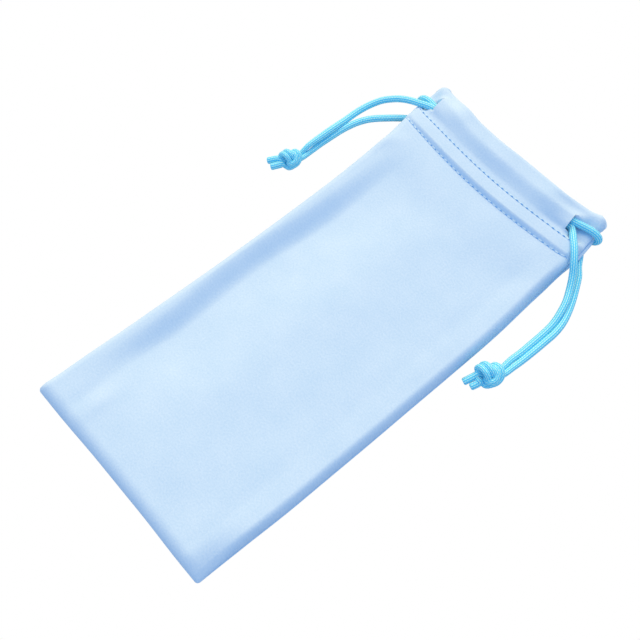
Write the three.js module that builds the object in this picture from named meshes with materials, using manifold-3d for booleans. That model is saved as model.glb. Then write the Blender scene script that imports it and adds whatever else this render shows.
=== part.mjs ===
// Soft drawstring pouch for spectacles, lying flat with its mouth towards +Y.
// Units are millimetres and +Z is up. The origin is on the table under the middle of the cloth.
import * as THREE from "three";
import { mergeVertices } from "three/addons/utils/BufferGeometryUtils.js";
import Module from "manifold-3d";

const wasm = await Module();
wasm.setup();

// Cloth
const pouchWidth = 82;
const pouchLength = 180;
const clothThickness = 0.5;
const bottomCornerRadius = 4;
const mouthCornerRadius = 1.5;
const sideWaist = 0.8; // how far each long side is drawn in at mid length
const loopPinch = 2; // how far the cord loops draw the side edges in
const loopPinchReach = 4;

// Body of the pouch
const bodySeamHeight = 2.6;
const rimHeight = 6.4; // top of the front along its seams
const rimRadius = 4;
const crownRise = 2.4; // extra height in the middle of the front
const rimValley = 0.4; // dip just inside the turned seam
const rimValleyInset = 8;
const rimValleyReach = 3;
const backRollRadius = 2.3;

// Hem with its two rows of stitching and the casing for the cords
const lowerRowInset = 22.7; // from the mouth corners
const upperRowInset = 16.5;
const hemMargin = 2.8; // turned-in cloth beyond the lower row
const facingSideInset = 5; // of the turned-in cloth, from the side edges
const hemBlend = 9; // length over which the body rises into the hem
const frontGroove = 0.2; // how deep the stitching sinks into the cloth
const backGroove = 0.5;
const grooveReach = 0.8;
const mouthGap = 4.3; // clear height between the two hems in the middle
const frontMouthDip = 3; // how far the middle of the mouth edge is drawn back
const backMouthDip = 1.5;
const mouthRollRadius = 2.5;
const rowClear = 0.5; // flat cloth beyond the upper row, before the casing rises
const grooveEdge = 1.2; // where the cloth beside a row is flat again

// Slopes across the hem
const slitSlope = 4.5; // half length of the front's fall at each slit
const backSlope = 3; // half length of the back's rise at each slit
const dipLead = 1; // how far the front facing's dip runs past the crossing of the cords
const dipSlope = 16;
const facingFallStart = 7; // before the right slit
const facingFall = 11;
const bumpRise = 7; // the back facing's bump over the crossing of the cords
const bumpBefore = 3;
const bumpAfter = 4;
const bumpFall = 9;
const frontCrossingInset = 9.5; // from the left slit on the front
const backCrossingInset = 17; // from the right slit on the back

// Cords
const cordDiameter = 2.5;
const cordSides = 8;
const laneInset = 11.5; // middle of the lower cord lane, from the mouth corners
const leftSlitInset = 6.2; // middle of the slits, from the side edges, on the front
const rightSlitInset = 12.1;
const slitWidth = 5.4;
const frontSlitLow = 0.4; // lowest point of the front's slits, above the side seam
const backSlitHigh = 0.6; // highest point of the back's slits, below the side seam
const cutterOverrun = 1; // how far a slit's cutter stands out of the cloth
const knotRight = new THREE.Vector3(4.8, 5, 3.7); // half sizes
const knotLeft = new THREE.Vector3(4.2, 3.9, 3.3);
const knotWrapDepth = 0.8; // how deep a wrap's middle lies in the knot, in radii of the cord
const knotWrapInset = 0.1; // from the knot's widest and highest points
const knotWraps = [
  { turn: 0.35, shift: 0.25 }, // radians about the vertical, and a share of the knot's half length
  { turn: -0.4, shift: -0.2 },
];

// Thread and seam allowance
const threadWidth = 0.5;
const threadThickness = 0.3;
const allowanceWidth = 6;
const seamThreadInset = 1; // from the allowance's outer edge
const seamEndRoom = 1; // between the side seams' allowance and the hem's facing

// Clearances
const layerGap = 0.3; // between sewn layers of cloth
const cordGap = 0.25; // between a cord and the cloth round it
const tableGap = 0.05; // under a cord that lies on the table
const threadGap = 0.15;
const pieceGap = 0.3; // between two lengths of cord, or a cord and its knot

// Levels that follow from the sizes above
const halfWidth = pouchWidth / 2;
const mouthY = pouchLength / 2;
const bottomY = -pouchLength / 2;
const cordRadius = cordDiameter / 2;
const casingRoom = cordDiameter + 2 * cordGap;
const lowerRowY = mouthY - lowerRowInset;
const upperRowY = mouthY - upperRowInset;
const hemStartY = lowerRowY - hemMargin;
const lanePitch = cordDiameter + pieceGap;
const laneLowY = mouthY - laneInset;
const laneHighY = laneLowY + lanePitch;
const laneMiddleY = (laneLowY + laneHighY) / 2;
const casingStartY = laneLowY - cordRadius - cordGap;
const casingEndY = laneHighY + cordRadius + cordGap;

// Stack of layers in the middle of the mouth, from the table up
const backFacingBottom = clothThickness + casingRoom;
const backStripBottom = clothThickness + backGroove + layerGap;
const frontFacingBottom = backFacingBottom + clothThickness + mouthGap;
const stripTop = frontFacingBottom + clothThickness + layerGap + clothThickness;
const crestTop = frontFacingBottom + clothThickness + casingRoom + clothThickness;

// Stack of layers at the ends of the mouth, where cords lie under and over the cloth
const sideBackBottom = tableGap + cordDiameter + cordGap;
const sideBackFacingBottom = sideBackBottom + clothThickness + layerGap;
const sideFrontFacingBottom = sideBackFacingBottom + clothThickness + layerGap;
const sideFrontTop = sideFrontFacingBottom + 2 * clothThickness + layerGap;
const hemSeamHeight = sideFrontFacingBottom - layerGap / 2;

// Heights of the cords' middle lines
const tableCord = tableGap + cordRadius;
const backCord = clothThickness + cordGap + cordRadius;
const frontCord = frontFacingBottom + clothThickness + cordGap + cordRadius;
const sideCord = sideFrontTop + cordGap + cordRadius;
const crossingLift = cordDiameter + pieceGap;

// Places across the mouth where the layers fall from the middle to the side stack
const leftSlitX = -halfWidth + leftSlitInset;
const rightSlitX = halfWidth - rightSlitInset;
const backLeftSlitX = -rightSlitX;
const backRightSlitX = -leftSlitX;
const frontCrossingX = leftSlitX + frontCrossingInset;
const backCrossingX = backRightSlitX - backCrossingInset;

const rise = (value, from, to) => THREE.MathUtils.smoothstep(value, from, to);
const fall = (value, from, to) => 1 - rise(value, from, to);
const mix = THREE.MathUtils.lerp;
const hump = (value, middle, reach) => Math.exp(-(((value - middle) / reach) ** 2));
const cornerCut = (radius, distance) => {
  const depth = Math.max(0, radius - Math.max(0, distance));
  return radius - Math.sqrt(radius * radius - depth * depth);
};

// Half width of the cloth outline, drawn in by an inset
function halfWidthAt(y, inset) {
  const waist = sideWaist * (1 - (y / mouthY) ** 2);
  const pinch = loopPinch * hump(y, laneHighY, loopPinchReach);
  const bottomCut = cornerCut(bottomCornerRadius - inset, y - bottomY - inset);
  const mouthCut = cornerCut(mouthCornerRadius, mouthY - y);
  return halfWidth - waist - pinch - bottomCut - mouthCut - inset;
}

// Mouth edge, drawn back in its middle
const mouthEdge = (x, dip) => mouthY - dip * fall(Math.abs(x), halfWidth / 3, halfWidth - rimRadius);

// How much of the middle stack is left at a place across the front and the back of the hem
const between = (x, left, right, slope) =>
  rise(x, left - slope, left + slope) * fall(x, right - slope, right + slope);
const frontBulge = (x) => between(x, leftSlitX, rightSlitX, slitSlope);
const backSag = (x) => between(x, backLeftSlitX, backRightSlitX, backSlope);
const dipStart = frontCrossingX - dipLead;
const fallStart = rightSlitX - facingFallStart;
const frontFacingBulge = (x) =>
  rise(x, dipStart, dipStart + dipSlope) * fall(x, fallStart, fallStart + facingFall);
const bumpStart = backCrossingX - bumpBefore;
const bumpEnd = backCrossingX + bumpAfter;
const backCrossingBump = (x) =>
  rise(x, bumpStart - bumpRise, bumpStart) * fall(x, bumpEnd, bumpEnd + bumpFall);
const casingRise = (y) => rise(y, upperRowY + rowClear, casingStartY);
const hemRise = (y) => rise(y, hemStartY - hemBlend, lowerRowY);

const seamHeight = (y) => mix(bodySeamHeight, hemSeamHeight, hemRise(y));
const frontFacingLevel = (x) => mix(sideFrontFacingBottom, frontFacingBottom, frontFacingBulge(x));
const backCasingLevel = (x) =>
  mix(sideBackFacingBottom, backFacingBottom, backSag(x)) + crossingLift * backCrossingBump(x);
const backStripLevel = (x) => mix(sideBackFacingBottom, backStripBottom, backSag(x));
const backFacingLevel = (x, y) => mix(backStripLevel(x), backCasingLevel(x), casingRise(y));

const grooves = (y) => hump(y, lowerRowY, grooveReach) + hump(y, upperRowY, grooveReach);

// Top of the front cloth before its edges roll down
function frontTop(x, y) {
  const sideInset = halfWidthAt(y, 0) - Math.abs(x);
  const bottomInset = y - bottomY;
  const valley =
    hump(sideInset, rimValleyInset, rimValleyReach) + hump(bottomInset, rimValleyInset, rimValleyReach);
  const crown = rise(sideInset, rimRadius, halfWidth) * rise(bottomInset, rimRadius, pouchLength / 3);
  const body = rimHeight + crownRise * crown - rimValley * Math.min(1, valley);
  const middle = mix(stripTop, crestTop, casingRise(y));
  const hem = mix(sideFrontTop, middle, frontBulge(x)) - frontGroove * grooves(y);
  return mix(body, hem, rise(y, hemStartY - hemBlend, hemStartY));
}

// Underside of the back cloth before its edges roll up
function backBottom(x, y) {
  const lifted = sideBackBottom * (1 - backSag(x)) * hemRise(y);
  return lifted + mix(frontGroove, backGroove, backSag(x)) * grooves(y);
}

// One closed skin between two grids of points, the first above the second
function shell(top, bottom) {
  const rows = top.length;
  const columns = top[0].length;
  const points = [...top.flat(), ...bottom.flat()];
  const at = (layer, row, column) => (layer * rows + row) * columns + column;
  const index = [];
  const quad = (a, b, c, d) => index.push(a, b, c, a, c, d);
  for (let i = 0; i < rows - 1; i++) {
    for (let j = 0; j < columns - 1; j++) {
      quad(at(0, i, j), at(0, i, j + 1), at(0, i + 1, j + 1), at(0, i + 1, j));
      quad(at(1, i, j), at(1, i + 1, j), at(1, i + 1, j + 1), at(1, i, j + 1));
    }
  }
  const rim = [];
  for (let j = 0; j < columns - 1; j++) rim.push([0, j]);
  for (let i = 0; i < rows - 1; i++) rim.push([i, columns - 1]);
  for (let j = columns - 1; j > 0; j--) rim.push([rows - 1, j]);
  for (let i = rows - 1; i > 0; i--) rim.push([i, 0]);
  rim.forEach((here, k) => {
    const next = rim[(k + 1) % rim.length];
    quad(at(1, ...here), at(1, ...next), at(0, ...next), at(0, ...here));
  });
  const geometry = new THREE.BufferGeometry().setFromPoints(points).setIndex(index);
  geometry.computeVertexNormals();
  return geometry;
}

// A column of a panel is a share of the flat width, or an angle of the roll at one side
const rollAngles = [0, Math.PI / 6, Math.PI / 3];
const flatColumns = 24;
const columnCrowding = 0.3; // the columns stand closer together towards the sides
const panelColumns = [];
for (const angle of rollAngles) panelColumns.push({ side: -1, angle });
for (let j = 0; j <= flatColumns; j++) {
  const t = (2 * j) / flatColumns - 1;
  panelColumns.push({ share: (1 + columnCrowding) * t - columnCrowding * t ** 3 });
}
for (const angle of [...rollAngles].reverse()) panelColumns.push({ side: 1, angle });

// A row is an angle of the roll at the bottom, a distance along the pouch or an angle of the mouth's roll
const bodyRows = 9;
const panelRows = [];
for (const angle of rollAngles) panelRows.push({ bottom: angle });
for (let i = 0; i <= bodyRows; i++) {
  panelRows.push({ y: mix(bottomY + rimRadius, hemStartY - hemBlend, i / bodyRows) });
}
const riseMiddleY = (upperRowY + rowClear + casingStartY) / 2;
for (const y of [
  hemStartY - hemBlend / 2,
  hemStartY,
  lowerRowY - grooveEdge,
  lowerRowY,
  lowerRowY + grooveEdge,
  upperRowY - grooveEdge,
  upperRowY,
  upperRowY + grooveEdge,
  riseMiddleY,
  casingStartY,
  laneMiddleY,
  casingEndY,
]) {
  panelRows.push({ y });
}
panelRows.push({ mouth: Math.PI / 2 });
for (const angle of [...rollAngles].reverse()) panelRows.push({ mouth: angle });

// Point of a panel's skin: inset 0 is the outside, inset of the cloth's thickness the inside
function panelPoint(row, column, inset, face) {
  const bottomRoll = row.bottom === undefined ? 1 : Math.sin(row.bottom);
  const mouthRoll = row.mouth === undefined ? 1 : Math.sin(row.mouth);
  const sideRoll = column.side === undefined ? 1 : Math.sin(column.angle);
  const place = (y) => {
    const half = halfWidthAt(y, inset);
    const flat = half - (face.rollRadius - inset);
    if (column.side === undefined) return column.share * flat;
    return column.side * (half - (face.rollRadius - inset) * (1 - Math.cos(column.angle)));
  };
  let y = row.y;
  if (row.bottom !== undefined) {
    y = bottomY + inset + (face.rollRadius - inset) * (1 - Math.cos(row.bottom));
  }
  if (row.mouth !== undefined) {
    const edge = mouthEdge(place(mouthY), face.mouthDip);
    y = edge - inset - (mouthRollRadius - inset) * (1 - Math.cos(row.mouth));
  }
  const x = place(y);
  const level = mix(face.lip(x), face.level(x, y) + face.inward * inset, mouthRoll);
  return new THREE.Vector3(x, y, mix(face.seam(y), level, sideRoll * bottomRoll));
}

const frontFace = {
  rollRadius: rimRadius,
  mouthDip: frontMouthDip,
  inward: -1,
  level: frontTop,
  lip: frontFacingLevel,
  seam: seamHeight,
};
const backFace = {
  rollRadius: backRollRadius,
  mouthDip: backMouthDip,
  inward: 1,
  level: backBottom,
  lip: (x) => backCasingLevel(x) + clothThickness,
  seam: (y) => seamHeight(y) - layerGap,
};

const panelGrid = (face, inset) =>
  panelRows.map((row) => panelColumns.map((column) => panelPoint(row, column, inset, face)));

// Turned-in hem, lying inside the mouth under the front panel or over the back panel
const facingColumns = 26;
const facingRows = [
  hemStartY,
  lowerRowY,
  upperRowY,
  upperRowY + grooveEdge,
  riseMiddleY,
  casingStartY,
  casingEndY,
];
function facing(level, mouthDip) {
  const point = (x, y, lift) => new THREE.Vector3(x, y, level(x, y) + lift);
  const end = (x) => mouthEdge(x, mouthDip) - clothThickness - 2 * layerGap;
  const xs = [];
  for (let j = 0; j <= facingColumns; j++) {
    xs.push(((2 * j) / facingColumns - 1) * (halfWidth - facingSideInset));
  }
  const grid = (lift) => [
    ...facingRows.map((y) => xs.map((x) => point(x, y, lift))),
    xs.map((x) => point(x, end(x), lift)),
  ];
  return shell(grid(clothThickness), grid(0));
}

// Row of hem stitching, lying on the outside of a panel
function hemStitching(face, rowY) {
  const columns = panelColumns.filter((column) => column.side === undefined).slice(1, -1);
  const outward = -face.inward;
  const near = threadGap;
  const far = threadGap + threadThickness;
  const grid = (distance) =>
    [-0.5, 0.5].map((edge) =>
      columns.map((column) => {
        const point = panelPoint({ y: rowY }, column, 0, face);
        return new THREE.Vector3(point.x, rowY + edge * threadWidth, point.z + outward * distance);
      }),
    );
  return outward > 0 ? shell(grid(far), grid(near)) : shell(grid(near), grid(far));
}

// Seam allowance turned inside along one edge, and the thread that closes the seam
const seamRows = 12;
const allowanceThickness = 2 * clothThickness + layerGap;
const allowanceBottom = (y) => seamHeight(y) - layerGap / 2 - allowanceThickness / 2;
const allowanceEdge = clothThickness + 2 * pieceGap;
const threadInset = allowanceEdge + seamThreadInset;
const sideSeamStartY = bottomY + rimRadius + allowanceWidth + 2 * pieceGap;
const sideSeamEndY = hemStartY - pieceGap - seamEndRoom;

function sideStrip(side, from, to, base, thickness) {
  const grid = (lift) => {
    const rows = [];
    for (let i = 0; i <= seamRows; i++) {
      const y = mix(sideSeamStartY, sideSeamEndY, i / seamRows);
      const half = halfWidthAt(y, 0);
      const ends = [side * (half - from), side * (half - to)].sort((a, b) => a - b);
      rows.push(ends.map((x) => new THREE.Vector3(x, y, allowanceBottom(y) + base + lift)));
    }
    return rows;
  };
  return shell(grid(thickness), grid(0));
}

function bottomStrip(from, to, base, thickness) {
  const halfSpan = halfWidth - rimRadius - allowanceWidth / 2;
  const grid = (lift) =>
    [bottomY + from, bottomY + to].map((y) =>
      [-halfSpan, halfSpan].map((x) => new THREE.Vector3(x, y, allowanceBottom(y) + base + lift)),
    );
  return shell(grid(thickness), grid(0));
}

// Solids for cutting and joining
function solidOf(geometry) {
  const bare = geometry.clone();
  bare.deleteAttribute("normal");
  bare.deleteAttribute("uv");
  const merged = mergeVertices(bare, 1e-4);
  return new wasm.Manifold(
    new wasm.Mesh({
      numProp: 3,
      vertProperties: merged.attributes.position.array,
      triVerts: new Uint32Array(merged.index.array),
    }),
  );
}

function geometryOf(solid) {
  const mesh = solid.getMesh();
  const geometry = new THREE.BufferGeometry();
  geometry.setAttribute("position", new THREE.BufferAttribute(mesh.vertProperties, 3));
  geometry.setIndex(new THREE.BufferAttribute(mesh.triVerts, 1));
  geometry.computeVertexNormals();
  return geometry;
}

// Slits through the outer cloth where the cords come out
function cutSlits(geometry, slitXs, low, high) {
  const length = casingEndY - casingStartY;
  return geometryOf(
    slitXs.reduce((solid, x) => {
      const slit = new THREE.BoxGeometry(slitWidth, length, high - low);
      slit.translate(x, laneMiddleY, (low + high) / 2);
      return solid.subtract(solidOf(slit));
    }, solidOf(geometry)),
  );
}

// Round cord along hand-placed points
function cord(points, steps) {
  const section = new THREE.Shape();
  for (let k = 0; k < cordSides; k++) {
    const angle = ((k + 0.5) / cordSides) * 2 * Math.PI;
    const x = cordRadius * Math.cos(angle);
    const y = cordRadius * Math.sin(angle);
    if (k === 0) section.moveTo(x, y);
    else section.lineTo(x, y);
  }
  section.closePath();
  const extrudePath = new THREE.CatmullRomCurve3(points, false, "centripetal");
  return new THREE.ExtrudeGeometry(section, { steps, extrudePath, bevelEnabled: false });
}

// Points measured from the mouth's right and left corners, along X and back along the pouch
const fromRight = (dx, dy, z) => new THREE.Vector3(halfWidth + dx, mouthY + dy, z);
const fromLeft = (dx, dy, z) => new THREE.Vector3(-halfWidth + dx, mouthY + dy, z);
const across = (x, y, z) => new THREE.Vector3(x, y, z);

// Hairpin of the right cord: front casing, loop round the left edge, back casing over the other cord
const rightHairpin = [
  across(rightSlitX + 1.6, laneLowY, frontCord - 1.9),
  across(rightSlitX - 2.4, laneLowY, frontCord - 0.8),
  across(rightSlitX - 7, laneLowY, frontCord - 0.1),
  across(frontCrossingX + 24, laneLowY, frontCord),
  across(frontCrossingX + 12, laneLowY, frontCord),
  across(frontCrossingX + 5.5, laneLowY + 0.3, frontCord),
  across(frontCrossingX, laneMiddleY, frontCord),
  across(leftSlitX + 5, laneHighY - 0.3, frontCord - 0.3),
  across(leftSlitX + 0.5, laneHighY, frontCord - 1.7),
  fromLeft(3, -9.2, sideCord + 0.55),
  fromLeft(-0.5, -9.8, sideCord - 0.3),
  fromLeft(-2.2, -10.6, hemSeamHeight + 0.2),
  fromLeft(-0.6, -11.4, tableCord + 0.6),
  fromLeft(2.4, -10.9, tableCord + 0.1),
  across(backLeftSlitX - 5, laneHighY - 0.4, tableCord),
  across(backLeftSlitX - 0.5, laneHighY, mix(tableCord, backCord, 0.4)),
  across(backLeftSlitX + 4, laneHighY, backCord),
  across(0, laneHighY, backCord),
  across(backCrossingX - 8, laneHighY, backCord + 0.2 * crossingLift),
  across(backCrossingX - 4, laneHighY - 0.6, backCord + 0.8 * crossingLift),
  across(backCrossingX, laneMiddleY, backCord + crossingLift),
  across(backCrossingX + 4, laneLowY + 0.6, backCord + 0.85 * crossingLift),
  across(backCrossingX + 8, laneLowY + 0.1, backCord + 0.3 * crossingLift),
  across(backRightSlitX - 4, laneLowY, backCord),
  across(backRightSlitX - 1.5, laneLowY, mix(tableCord, backCord, 0.6)),
  across(backRightSlitX + 1.4, laneLowY - 0.2, tableCord + 0.1),
];

// Hairpin of the left cord: front casing under the other cord, loop round the right edge, back casing
const leftHairpin = [
  across(leftSlitX - 0.4, laneLowY - 0.1, sideCord + 1.3),
  across(leftSlitX + 4, laneLowY + 0.1, frontCord - crossingLift + 0.3),
  across(frontCrossingX, laneMiddleY, frontCord - crossingLift),
  across(frontCrossingX + 5.5, laneHighY - 0.4, frontCord - 1.9),
  across(frontCrossingX + 10, laneHighY, frontCord - 0.6),
  across(frontCrossingX + 15, laneHighY, frontCord),
  across(rightSlitX - 8, laneHighY, frontCord - 0.1),
  across(rightSlitX - 3.4, laneHighY, frontCord - 0.8),
  across(rightSlitX + 1.6, laneHighY, frontCord - 2),
  fromRight(-7, -8.1, sideCord + 0.25),
  fromRight(-3.2, -7.7, sideCord - 0.1),
  fromRight(-0.2, -7.4, hemSeamHeight + 1.2),
  fromRight(-0.2, -7.5, tableCord + 1.8),
  fromRight(-2.6, -8.1, tableCord + 0.1),
  across(backRightSlitX + 2, laneHighY, tableCord),
  across(backRightSlitX - 2, laneHighY, mix(tableCord, backCord, 0.9)),
  across(backCrossingX + 8, laneHighY - 0.1, backCord),
  across(backCrossingX, laneMiddleY, backCord),
  across(backCrossingX - 9, laneLowY + 0.1, backCord),
  across(0, laneLowY, backCord),
  across(backLeftSlitX + 4, laneLowY, backCord),
  across(backLeftSlitX - 0.5, laneLowY, mix(tableCord, backCord, 0.4)),
  across(backLeftSlitX - 4, laneLowY - 0.4, tableCord),
];

// Tails from the slits over and under the side edges to the knots
const rightFrontTail = [
  fromRight(-9.9, laneLowY - mouthY, sideCord + 1),
  fromRight(-8.9, laneLowY - mouthY - 0.4, sideCord + 0.8),
  fromRight(-6.5, -15, sideCord + 2),
  fromRight(-3.4, -18, sideCord + 2.2),
  fromRight(-0.7, -20.7, sideCord + 1),
  fromRight(2.2, -23.7, tableCord + 4.1),
  fromRight(4.6, -27.1, tableCord + 2.3),
  fromRight(6.8, -31.1, tableCord + 1.6),
  fromRight(8.3, -35.5, tableCord + 0.9),
  fromRight(9.2, -39.5, tableCord + 0.2),
  fromRight(9.5, -44.2, tableCord),
  fromRight(9.5, -49.6, tableCord),
  fromRight(9.4, -54.9, tableCord),
  fromRight(9.1, -59.5, tableCord + 0.3),
  fromRight(8.4, -63.2, tableCord + 1.5),
  fromRight(8.2, -67, tableCord + 2.4),
];
const rightBackTail = [
  fromRight(-4.3, -11.75, tableCord + 0.1),
  fromRight(-3.3, -12.2, tableCord),
  fromRight(-1.8, -14, tableCord),
  fromRight(0.4, -17.1, tableCord),
  fromRight(2.9, -19.8, tableCord),
  fromRight(5.6, -24.1, tableCord),
  fromRight(8.1, -28.6, tableCord),
  fromRight(9.9, -32.5, tableCord),
  fromRight(11.5, -37.1, tableCord),
  fromRight(12.2, -41.8, tableCord),
  fromRight(12.2, -46.5, tableCord),
  fromRight(12.1, -51.8, tableCord),
  fromRight(11.9, -57, tableCord),
  fromRight(11.7, -60.6, tableCord + 0.3),
  fromRight(11.1, -63.2, tableCord + 1.5),
  fromRight(10, -67, tableCord + 2.4),
];
const leftFrontTail = [
  fromLeft(5.2, -11.8, sideCord + 1.3),
  fromLeft(2, -12.9, sideCord + 0.8),
  fromLeft(-1, -13.9, sideCord + 0.1),
  fromLeft(-3.6, -14.6, tableCord + 5.3),
  fromLeft(-6.6, -15.8, tableCord + 4.3),
  fromLeft(-9, -17.4, tableCord + 3.5),
  fromLeft(-12.1, -20.5, tableCord + 2.3),
  fromLeft(-14.1, -24.6, tableCord + 1.3),
  fromLeft(-15.2, -29.7, tableCord + 0.7),
  fromLeft(-15.2, -35.8, tableCord + 0.9),
  fromLeft(-14.9, -42, tableCord + 1.9),
  fromLeft(-14.8, -48, tableCord + 2.3),
  fromLeft(-14.9, -54, tableCord + 2.2),
  fromLeft(-15.6, -57.6, tableCord + 2.3),
  fromLeft(-16.6, -61, tableCord + 2.2),
];
const leftBackTail = [
  across(backLeftSlitX - 4.5, laneLowY - 0.5, tableCord),
  across(backLeftSlitX - 6, laneLowY - 1.1, tableCord),
  fromLeft(3.6, -14.7, tableCord),
  fromLeft(1, -16.6, tableCord),
  fromLeft(-1.6, -18.6, tableCord),
  fromLeft(-5.8, -23.2, tableCord),
  fromLeft(-9.8, -28.5, tableCord),
  fromLeft(-11.7, -32.8, tableCord),
  fromLeft(-12.9, -38.3, tableCord),
  fromLeft(-13.3, -43.2, tableCord),
  fromLeft(-13.5, -48.8, tableCord),
  fromLeft(-13.2, -54.5, tableCord + 0.2),
  fromLeft(-13.3, -57.6, tableCord + 0.9),
  fromLeft(-14.4, -61, tableCord + 1.6),
];

// Cut ends beyond the knots
const rightFrontEnd = [
  fromRight(8, -69.5, tableCord + 2),
  fromRight(6, -73.2, tableCord + 0.9),
  fromRight(4, -76.4, tableCord),
];
const rightBackEnd = [
  fromRight(9.8, -70, tableCord + 2),
  fromRight(8.7, -73.6, tableCord + 0.8),
  fromRight(7.6, -76.9, tableCord),
];
const leftFrontEnd = [
  fromLeft(-16.8, -62.6, tableCord + 1.7),
  fromLeft(-18.9, -65.6, tableCord + 0.8),
  fromLeft(-21, -68.6, tableCord),
];
const leftBackEnd = [
  fromLeft(-14.7, -63.4, tableCord + 1.7),
  fromLeft(-16.1, -66.4, tableCord + 0.7),
  fromLeft(-17.4, -69.2, tableCord),
];

// Knot of two strands: a core with wraps round it
function knot(centre, half) {
  const core = new THREE.SphereGeometry(1, 14, 10);
  core.scale(half.x - cordRadius / 2, half.y - cordRadius / 2, half.z - cordRadius / 2);
  const ring = Math.min(half.x, half.z) - knotWrapDepth * cordRadius;
  const joined = knotWraps.reduce((solid, { turn, shift }) => {
    const wrap = new THREE.TorusGeometry(ring, cordRadius, 8, 18);
    wrap.rotateX(Math.PI / 2);
    wrap.rotateZ(turn);
    const outside = ring + cordRadius;
    wrap.scale((half.x - knotWrapInset) / outside, 1, (half.z - knotWrapInset) / outside);
    wrap.translate(0, shift * half.y, 0);
    return solid.add(solidOf(wrap));
  }, solidOf(core));
  const geometry = geometryOf(joined);
  geometry.translate(centre.x, centre.y, centre.z);
  return geometry;
}

// Cord trimmed clear of the knot it runs into
function trimmed(points, steps, knotAt, knotSize) {
  const room = knot(knotAt, knotSize.clone().addScalar(pieceGap));
  return geometryOf(solidOf(cord(points, steps)).subtract(solidOf(room)));
}

const matt = (color, roughness) => () => new THREE.MeshStandardMaterial({ color, roughness, metalness: 0 });
const clothMaterial = matt(0xcde5fc, 0.95);
const threadMaterial = matt(0x9fc4ee, 0.8);
const cordMaterial = matt(0x6dcbf4, 0.55);

const pouch = new THREE.Group();

function add(parent, name, geometry, material) {
  const mesh = new THREE.Mesh(geometry, material);
  mesh.name = name;
  parent.add(mesh);
}

// Cloth and thread
const sewn = new THREE.Group();
pouch.add(sewn);
const frontPanel = shell(panelGrid(frontFace, 0), panelGrid(frontFace, clothThickness));
const backPanel = shell(panelGrid(backFace, clothThickness), panelGrid(backFace, 0));
const frontSlits = cutSlits(frontPanel, [leftSlitX, rightSlitX], hemSeamHeight + frontSlitLow, crestTop + cutterOverrun);
const backSlits = cutSlits(backPanel, [backLeftSlitX, backRightSlitX], -cutterOverrun, hemSeamHeight - backSlitHigh);
add(sewn, "front_panel", frontSlits, clothMaterial());
add(sewn, "back_panel", backSlits, clothMaterial());
add(sewn, "front_hem_facing", facing(frontFacingLevel, frontMouthDip), clothMaterial());
add(sewn, "back_hem_facing", facing(backFacingLevel, backMouthDip), clothMaterial());
add(sewn, "front_lower_stitching", hemStitching(frontFace, lowerRowY), threadMaterial());
add(sewn, "front_upper_stitching", hemStitching(frontFace, upperRowY), threadMaterial());
add(sewn, "back_lower_stitching", hemStitching(backFace, lowerRowY), threadMaterial());
add(sewn, "back_upper_stitching", hemStitching(backFace, upperRowY), threadMaterial());

const threadBase = allowanceThickness + threadGap;
for (const [label, side] of [["left", -1], ["right", 1]]) {
  const strip = sideStrip(side, allowanceEdge, allowanceEdge + allowanceWidth, 0, allowanceThickness);
  const thread = sideStrip(side, threadInset, threadInset + threadWidth, threadBase, threadThickness);
  add(sewn, `${label}_seam_allowance`, strip, clothMaterial());
  add(sewn, `${label}_seam_thread`, thread, threadMaterial());
}
const bottomAllowance = bottomStrip(allowanceEdge, allowanceEdge + allowanceWidth, 0, allowanceThickness);
const bottomThread = bottomStrip(threadInset, threadInset + threadWidth, threadBase, threadThickness);
add(sewn, "bottom_seam_allowance", bottomAllowance, clothMaterial());
add(sewn, "bottom_seam_thread", bottomThread, threadMaterial());

// Cords
const hairpinSteps = 84;
const tailSteps = 16;
const endSteps = 3;
const cords = [
  {
    label: "right_cord",
    hairpin: rightHairpin,
    frontTail: rightFrontTail,
    backTail: rightBackTail,
    ends: [rightFrontEnd, rightBackEnd],
    knotAt: fromRight(9.1, -68.2, knotRight.z + tableGap),
    knotSize: knotRight,
  },
  {
    label: "left_cord",
    hairpin: leftHairpin,
    frontTail: leftFrontTail,
    backTail: leftBackTail,
    ends: [leftFrontEnd, leftBackEnd],
    knotAt: fromLeft(-15.6, -61.5, knotLeft.z + tableGap),
    knotSize: knotLeft,
  },
];
for (const { label, hairpin, frontTail, backTail, ends, knotAt, knotSize } of cords) {
  const group = new THREE.Group();
  pouch.add(group);
  add(group, `${label}_hairpin`, cord(hairpin, hairpinSteps), cordMaterial());
  add(group, `${label}_front_tail`, trimmed(frontTail, tailSteps, knotAt, knotSize), cordMaterial());
  add(group, `${label}_back_tail`, trimmed(backTail, tailSteps, knotAt, knotSize), cordMaterial());
  add(group, `${label}_knot`, knot(knotAt, knotSize), cordMaterial());
  add(group, `${label}_front_end`, trimmed(ends[0], endSteps, knotAt, knotSize), cordMaterial());
  add(group, `${label}_back_end`, trimmed(ends[1], endSteps, knotAt, knotSize), cordMaterial());
}

export default pouch;
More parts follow.
